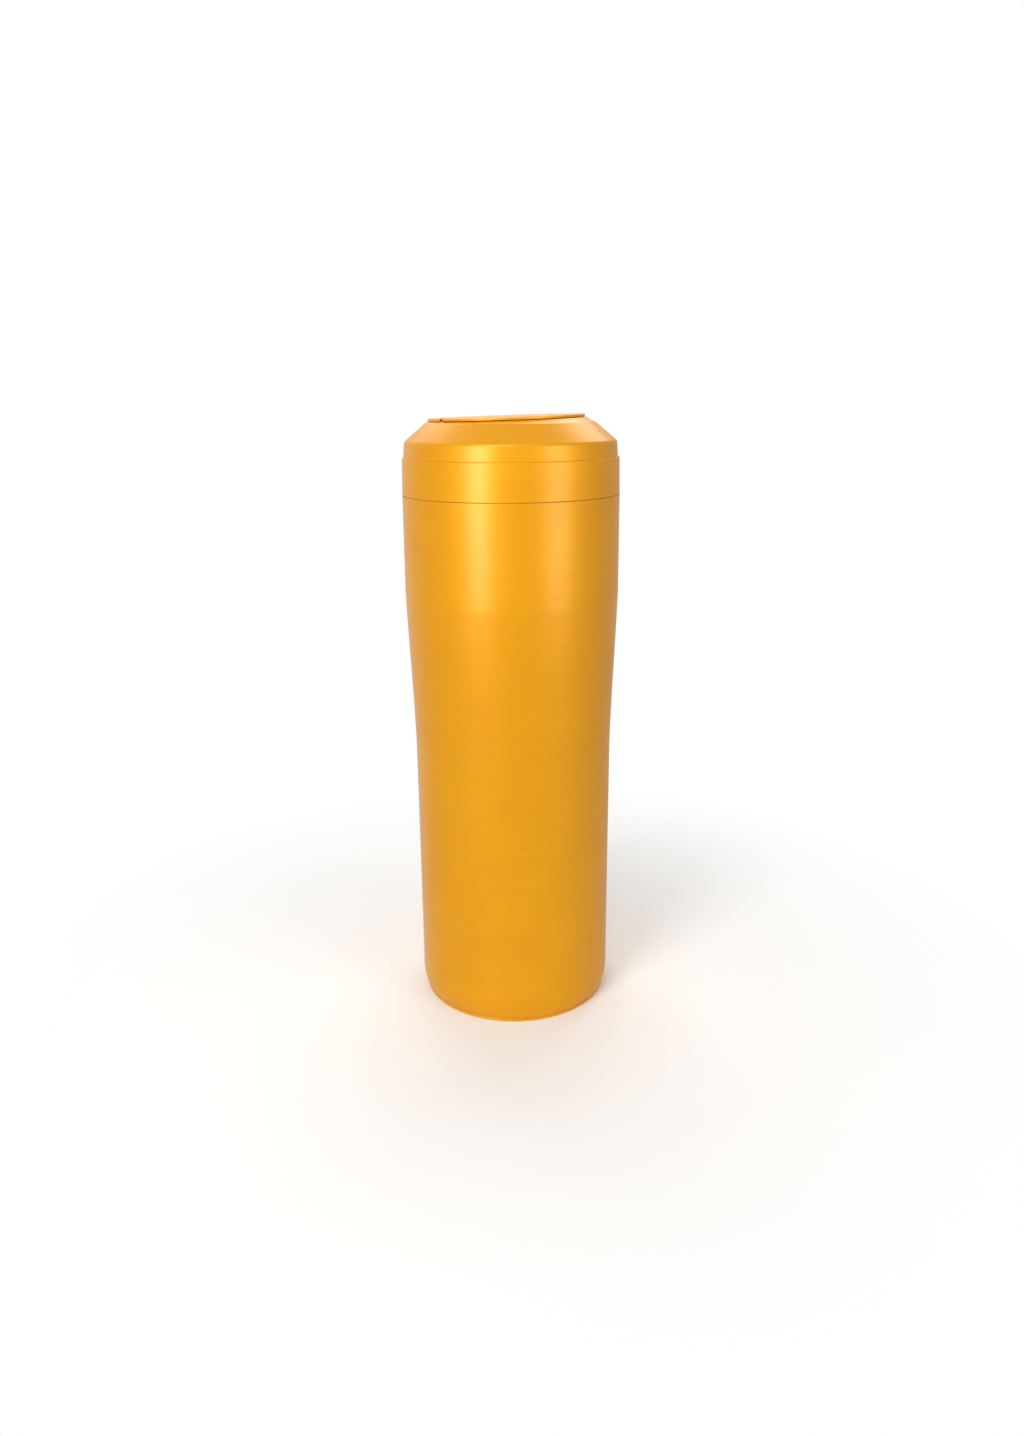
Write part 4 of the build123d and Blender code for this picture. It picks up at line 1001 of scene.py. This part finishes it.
# ---- post and its head
@dataclass
class Post:
    """The rising post: tube with sunk tape bands, and the cast head with its well."""

    turning: Turning
    radius: float = 84.15
    bore: float = 79.15
    low: float = 60.0
    top: float = 752.0
    bands: tuple[Point, Point] = ((527.0, 582.0), (637.0, 692.0))
    sunk: float = 0.55
    slack: float = 0.1
    head_r: float = 89.0
    head_low: float = 708.0
    well_r: float = 70.0
    floor: float = WELL_FLOOR
    seal: float = 2.6
    groove: Point = (-14.5, -9.4)
    groove_r: float = 23.0
    shaft_r: float = 5.55
    tap_r: float = 2.05
    tap_low: float = 714.0
    gas_x: float = 46.0
    gas_r: float = 5.1
    gas_top: float = 718.5
    screw_rows: Point = (73.0, 730.0)
    hole_r: float = 3.1
    sink_tip: float = 2.9
    sink_r: float = 6.0
    fence: float = 8.0

    def build(self) -> None:
        """Make the tube, its tape and the head."""
        self.tube()
        self.tape()
        self.head()

    def tube(self) -> None:
        """The tube, with sunk bands and countersunk holes for two rings of screws."""
        fences = [h + side * self.fence for h in self.screw_rows for side in (-1, 1)]
        outline = [(self.bore, self.low), (self.radius, self.low)]
        outline += [(self.radius, height) for height in fences[:2]]
        for low, high in self.bands:
            deep = self.radius - self.sunk
            outline += [(self.radius, low), (deep, low), (deep, high), (self.radius, high)]
        outline += [(self.radius, height) for height in fences[2:]]
        outline += [(self.radius, self.top), (self.bore, self.top)]
        outline += [(self.bore, height) for height in reversed(fences)]
        corners = [Corner((self.radius, z), 0.6, 3) for z in (self.top, self.low)]
        corners += [Corner((self.radius, z), 0.25, 2) for band in self.bands for z in band]
        mesh = self.turning.spin(outline, corners)
        holes, sinks = bmesh.new(), bmesh.new()
        for first, height in zip((30.0, 0.0), self.screw_rows):
            for i in range(6):
                turn = math.radians(first + 60.0 * i)
                out = Vector((math.cos(turn), math.sin(turn), 0.0))
                lift = Vector((0, 0, height))
                start, end = out * (self.bore - 5.0) + lift, out * (self.radius + 5.85) + lift
                join(holes, rod(self.hole_r, start, end, 40))
                deep = out * (self.radius - self.sink_r + self.sink_tip) + lift
                join(sinks, rod(self.sink_tip, deep, out * self.radius + lift, 40, self.sink_r))
        mesh = carve(mesh, holes, sinks)
        self.turning.piece("post_tube", "brushed", mesh, "post", "stainless_steel")

    def tape(self) -> None:
        """Two bands of tape lying in the tube's recesses."""
        mesh = bmesh.new()
        outer, inner = self.radius - self.slack, self.radius - self.sunk
        for band in self.bands:
            low, high = band[0] + self.slack, band[1] - self.slack
            join(mesh, self.turning.spin(
                [(inner, low), (outer, low), (outer, high), (inner, high)],
                [Corner((outer, z), 0.2, 2) for z in (low, high)],
            ))
        self.turning.piece("reflective_bands", "laid", mesh, "post", "reflective_tape")

    def head(self) -> None:
        """The cast head: spigot, overhanging rim, deep well and the latch's groove."""
        spigot, blank = self.bore - self.slack, self.top + 40.0
        mesh = self.turning.spin(
            [(0.0, self.head_low), (spigot, self.head_low), (spigot, self.top),
             (self.head_r, self.top), (self.head_r, blank), (self.well_r, blank),
             (self.well_r, self.floor), (0.0, self.floor)],
            [Corner((self.well_r, self.floor), 2.0, 4), Corner((self.head_r, self.top), 0.8, 3),
             Corner((spigot, self.head_low), 0.8, 3)],
        )
        bevel(mesh, cut_along_lid(mesh, self.seal), 0.9 * MM, 3)
        low, high = self.groove
        groove = rod(self.groove_r, (LATCH_U, 0, low), (LATCH_U, 0, high), 96)
        bmesh.ops.transform(groove, matrix=lid_matrix(), verts=groove.verts)
        under, over = self.head_low - 8.0, self.floor + 8.0
        mesh = carve(
            mesh, groove, rod(self.shaft_r, (0, 0, under), (0, 0, over), 48),
            *(rod(self.tap_r, (x, y, self.tap_low), (x, y, over), 24) for x, y in self.taps()),
            *(rod(self.gas_r, (x, 0, under), (x, 0, self.gas_top), 40)
              for x in (-self.gas_x, self.gas_x)),
        )
        self.turning.piece("head_casting", "cast", mesh, "post", "cast_aluminium")

    def taps(self) -> list[Point]:
        """Where the screws of the lock housing and of the handle's lugs go in."""
        lugs = [(x, y) for x in (-LUG_X, LUG_X) for y in (-LUG_SCREW_Y, LUG_SCREW_Y)]
        return housing_screws() + lugs


@dataclass
class Lock:
    """The brass lock housing and the plug that the key turns."""

    turning: Turning
    floor: float = WELL_FLOOR
    flange: float = 5.0
    flange_r: float = 24.0
    body_r: float = 15.5
    high: float = 22.0
    bore_r: float = 12.05
    shaft_r: float = 5.55
    plug_r: float = 12.0

    def build(self) -> None:
        """Make the housing and the plug."""
        low, step, top = self.floor, self.floor + self.flange, self.floor + self.high
        mesh = self.turning.spin(
            [(self.shaft_r, low), (self.flange_r, low), (self.flange_r, step),
             (self.body_r, step), (self.body_r, top), (self.bore_r, top),
             (self.bore_r, low + 2.0), (self.shaft_r, low + 2.0)],
            [Corner((self.flange_r, step), 0.8, 4), Corner((self.body_r, top), 0.8, 4),
             Corner((self.bore_r, top), 0.4, 3), Corner((self.body_r, step), 0.6, 3)],
        )
        ends = low - 3.0, step + 3.0
        mesh = carve(mesh, *(
            rod(SCREW_HOLE_R, *((x, y, z) for z in ends), 32) for x, y in housing_screws()
        ))
        self.turning.piece("lock_housing", "turned", mesh, "post", "brass")
        plug = key_socket(self.turning, self.plug_r, low + 2.4, low + 20.4, 9.0, 9.5)
        plug = carve(plug, rod(5.6, (0, 0, low - 3.0), (0, 0, low + 8.4), 48))
        self.turning.piece("key_plug", "turned", plug, "lock", "brass")


@dataclass
class Handle:
    """The fold-down handle and the two lugs that carry it."""

    turning: Turning
    bar_r: float = 4.5
    half: float = 36.0
    leg: float = 34.0
    bend: float = 10.0
    pivot_bend: float = 5.0
    pivot_z: float = 728.0
    end: float = 51.0
    eye_r: float = 7.5
    lug_t: float = 9.0
    foot: Point = (34.0, 4.0)

    def build(self) -> None:
        """Make the bar and the lugs."""
        self.bar()
        self.lugs()

    def bar(self) -> None:
        """Drive a round section along the bar's path, straight by straight and bend by bend."""
        mesh = bmesh.new()
        start = Vector((-self.end, 0.0, self.pivot_z)) * MM
        ring = bmesh.ops.create_circle(
            mesh, cap_ends=False, segments=40, radius=self.bar_r * MM,
            matrix=Matrix.Translation(start) @ Matrix.Rotation(math.radians(90.0), 4, "Y"),
        )
        edges = list({e for v in ring["verts"] for e in v.link_edges})
        bmesh.ops.holes_fill(mesh, edges=edges, sides=0)
        inner, half = self.half + self.pivot_bend, self.half - self.bend
        low, high = self.pivot_bend, self.leg - self.bend
        for place, angle in (
            ((self.end - inner, 0.0), 0.0), ((-inner, low), 90.0),
            ((0.0, high - low), 0.0), ((-half, high), -90.0),
            ((2 * half, 0.0), 0.0), ((half, high), -90.0),
            ((0.0, low - high), 0.0), ((inner, low), 90.0),
            ((self.end - inner, 0.0), 0.0),
        ):
            edges = self.advance(mesh, edges, place, angle)
        bmesh.ops.holes_fill(mesh, edges=edges, sides=0)
        bmesh.ops.recalc_face_normals(mesh, faces=mesh.faces)
        bevel(mesh, crisp_edges(mesh, 60.0), 0.8 * MM, 3)
        self.turning.piece("lift_handle", "bent", mesh, "handle", "zinc_plate")

    def advance(self, mesh: Mesh, edges: list, place: Point, angle: float) -> list:
        """Carry an open ring of edges along one straight or round one bend.

        Args:
            mesh: Mesh that holds the ring.
            edges: The ring's edges.
            place: A straight's run, or a bend's centre.
            angle: The bend's angle in degrees, 0 for a straight.

        Returns:
            The edges of the ring at the end.
        """
        if not angle:
            made = bmesh.ops.extrude_edge_only(mesh, edges=edges)["geom"]
            verts = [g for g in made if isinstance(g, bmesh.types.BMVert)]
            bmesh.ops.translate(mesh, vec=Vector((*place, 0.0)) * MM, verts=verts)
        else:
            made = bmesh.ops.spin(
                mesh, geom=edges, cent=Vector((*place, self.pivot_z)) * MM, axis=(0, 0, 1),
                dvec=(0, 0, 0), angle=math.radians(angle), steps=14, use_merge=False,
                use_normal_flip=False, use_duplicate=False,
            )["geom_last"]
        return [g for g in made if isinstance(g, bmesh.types.BMEdge)]

    def lugs(self) -> None:
        """Two lugs: a screwed foot and a round eye for the bar."""
        both = bmesh.new()
        floor, rise = WELL_FLOOR, self.pivot_z - WELL_FLOOR
        long, thick = self.foot
        for mid in (-LUG_X, LUG_X):
            near, far = mid - self.lug_t / 2, mid + self.lug_t / 2
            mesh = rod(self.eye_r, (near, 0, self.pivot_z), (far, 0, self.pivot_z), 64)
            web = slab((self.lug_t, 2 * self.eye_r, rise), (mid, 0, floor + rise / 2))
            foot = slab((self.lug_t, long, thick), (mid, 0, floor + thick / 2))
            mesh = carve(mesh, web, foot, operation="UNION")
            mesh = carve(mesh, slab((20.0, 20.0, 10.0), (mid, 0, floor - 5.0)))
            bmesh.ops.dissolve_limit(
                mesh, angle_limit=math.radians(1.0), verts=mesh.verts, edges=mesh.edges
            )
            bevel(mesh, crisp_edges(mesh, 50.0), 0.5 * MM, 3)
            eye = [(x, 0, self.pivot_z) for x in (near - 1, far + 1)]
            mesh = carve(mesh, rod(self.bar_r + 0.05, *eye, 48), *(
                rod(SCREW_HOLE_R, (mid, y, floor - 1), (mid, y, floor + 9), 32)
                for y in (-LUG_SCREW_Y, LUG_SCREW_Y)
            ))
            join(both, mesh)
        self.turning.piece("handle_lugs", "milled", both, "post", "zinc_plate")


# ---- studio
@dataclass
class Studio:
    """Pale floor, soft lights and the camera."""

    focal: float = 26.52
    sensor: float = 36.0
    camera_at: tuple[float, float, float] = (-0.0012, -1.366, 0.800)
    pitch: float = 16.8
    roll: float = -0.51

    def build(self) -> None:
        """Make the floor, the lights, the surroundings and the camera."""
        self.floor()
        self.lights()
        self.surroundings()
        self.camera()
        bpy.context.scene.view_settings.view_transform = "Standard"

    def floor(self) -> None:
        """A plain pale floor that fades out into the surroundings."""
        mesh = bmesh.new()
        bmesh.ops.create_circle(mesh, cap_ends=True, segments=96, radius=6.0)
        made = to_object("floor", mesh)
        material = bpy.data.materials.new("pale_floor")
        tree = fresh_tree(material)
        place = add_node(tree, "ShaderNodeTexCoord", {}).outputs["Object"]
        reach = add_node(tree, VECTOR, {0: place}, operation="LENGTH")
        fade = add_node(
            tree, MAP, {0: reach.outputs["Value"], 1: 0.22, 2: 0.85},
            interpolation_type="SMOOTHSTEP",
        ).outputs["Result"]
        near = add_node(tree, "ShaderNodeBsdfDiffuse", {"Color": linear("#F4F4F2")}).outputs[0]
        far = add_node(tree, "ShaderNodeBsdfTransparent", {}).outputs[0]
        both = add_node(tree, "ShaderNodeMixShader", {0: fade, 1: near, 2: far}).outputs[0]
        add_node(tree, "ShaderNodeOutputMaterial", {"Surface": both})
        made.data.materials.append(material)
        made.visible_glossy = False

    def lamp(
        self, name: str, bearing: float, distance: float, height: float,
        size: Point, watts: float, aim: float = 0.45,
    ) -> None:
        """Stand a soft box round the bollard.

        Args:
            name: The lamp's name.
            bearing: Angle from the camera's side, positive to its right, in degrees.
            distance: Distance from the axis in metres.
            height: Height of its centre in metres.
            size: Width and height in metres.
            watts: Power.
            aim: Height on the axis that it faces, in metres.
        """
        turn = math.radians(bearing)
        place = Vector((distance * math.sin(turn), -distance * math.cos(turn), height))
        data = bpy.data.lights.new(name, "AREA")
        data.shape = "RECTANGLE"
        data.size, data.size_y = size
        data.energy = watts
        made = bpy.data.objects.new(name, data)
        made.location = place
        facing = Vector((0, 0, aim)) - place
        made.rotation_euler = facing.to_track_quat("-Z", "Y").to_euler()
        bpy.context.scene.collection.objects.link(made)

    def lights(self) -> None:
        """Key strip front left, fill at the right, a small box high in front, a wash behind."""
        self.lamp("key_strip", -33.0, 2.2, 1.08, (0.85, 1.95), 33.0)
        self.lamp("right_fill", 48.0, 2.4, 0.85, (1.1, 1.7), 17.0)
        self.lamp("high_front", -20.0, 1.3, 2.3, (1.1, 0.5), 9.0, aim=0.6)
        self.lamp("back_wash", 176.0, 1.9, 2.4, (3.0, 1.4), 36.0, aim=-0.4)

    def surroundings(self) -> None:
        """White for the camera; for reflections grey, lighter behind and a little left."""
        world = bpy.data.worlds.new("studio")
        bpy.context.scene.world = world
        tree = fresh_tree(world)
        seen = add_node(tree, "ShaderNodeLightPath", {}).outputs["Is Camera Ray"]
        heading = add_node(
            tree, VECTOR,
            {0: add_node(tree, "ShaderNodeTexCoord", {}).outputs["Generated"],
             1: (-0.34, 0.94, 0.0)},
            operation="DOT_PRODUCT",
        ).outputs["Value"]
        behind = add_node(
            tree, MAP, {0: heading, 1: 0.55, 2: 1.0, 3: 0.42, 4: 0.75},
            interpolation_type="SMOOTHSTEP",
        ).outputs["Result"]
        level = add_node(tree, MIX, {0: seen, 2: behind, 3: 1.0}).outputs[0]
        sky = add_node(
            tree, "ShaderNodeBackground", {"Color": (1.0, 1.0, 1.0, 1.0), "Strength": level}
        ).outputs[0]
        add_node(tree, "ShaderNodeOutputWorld", {"Surface": sky})

    def camera(self) -> None:
        """A short lens at standing height, looking down and rolled by half a degree."""
        data = bpy.data.cameras.new("camera")
        data.lens = self.focal
        data.sensor_width = self.sensor
        made = bpy.data.objects.new("camera", data)
        look = Matrix.Rotation(math.radians(90.0 - self.pitch), 3, "X")
        turn = Matrix.Rotation(math.radians(self.roll), 3, "Z")
        made.matrix_world = Matrix.Translation(self.camera_at) @ (look @ turn).to_4x4()
        bpy.context.scene.collection.objects.link(made)
        bpy.context.scene.camera = made


def dress_cad_nodes(shop: FinishShop) -> None:
    """Give every CAD node that stays the material of its slot.

    Args:
        shop: The finish shop.
    """
    slots = {row["node"]: row["material_slot"] for row in frame["record"]["subparts"]}
    for name, node in frame["nodes"].items():
        node.data.materials.clear()
        node.data.materials.append(shop.get(slots[name]))


def main() -> None:
    logging.basicConfig(level=logging.INFO, format="%(name)s: %(message)s")
    shop = FinishShop()
    turning = Turning(shop)
    Studio().build()
    dress_cad_nodes(shop)
    for part in (Casing, Crown, Lid, Post, Lock, Handle):
        part(turning).build()


if __name__ == "__main__":
    main()
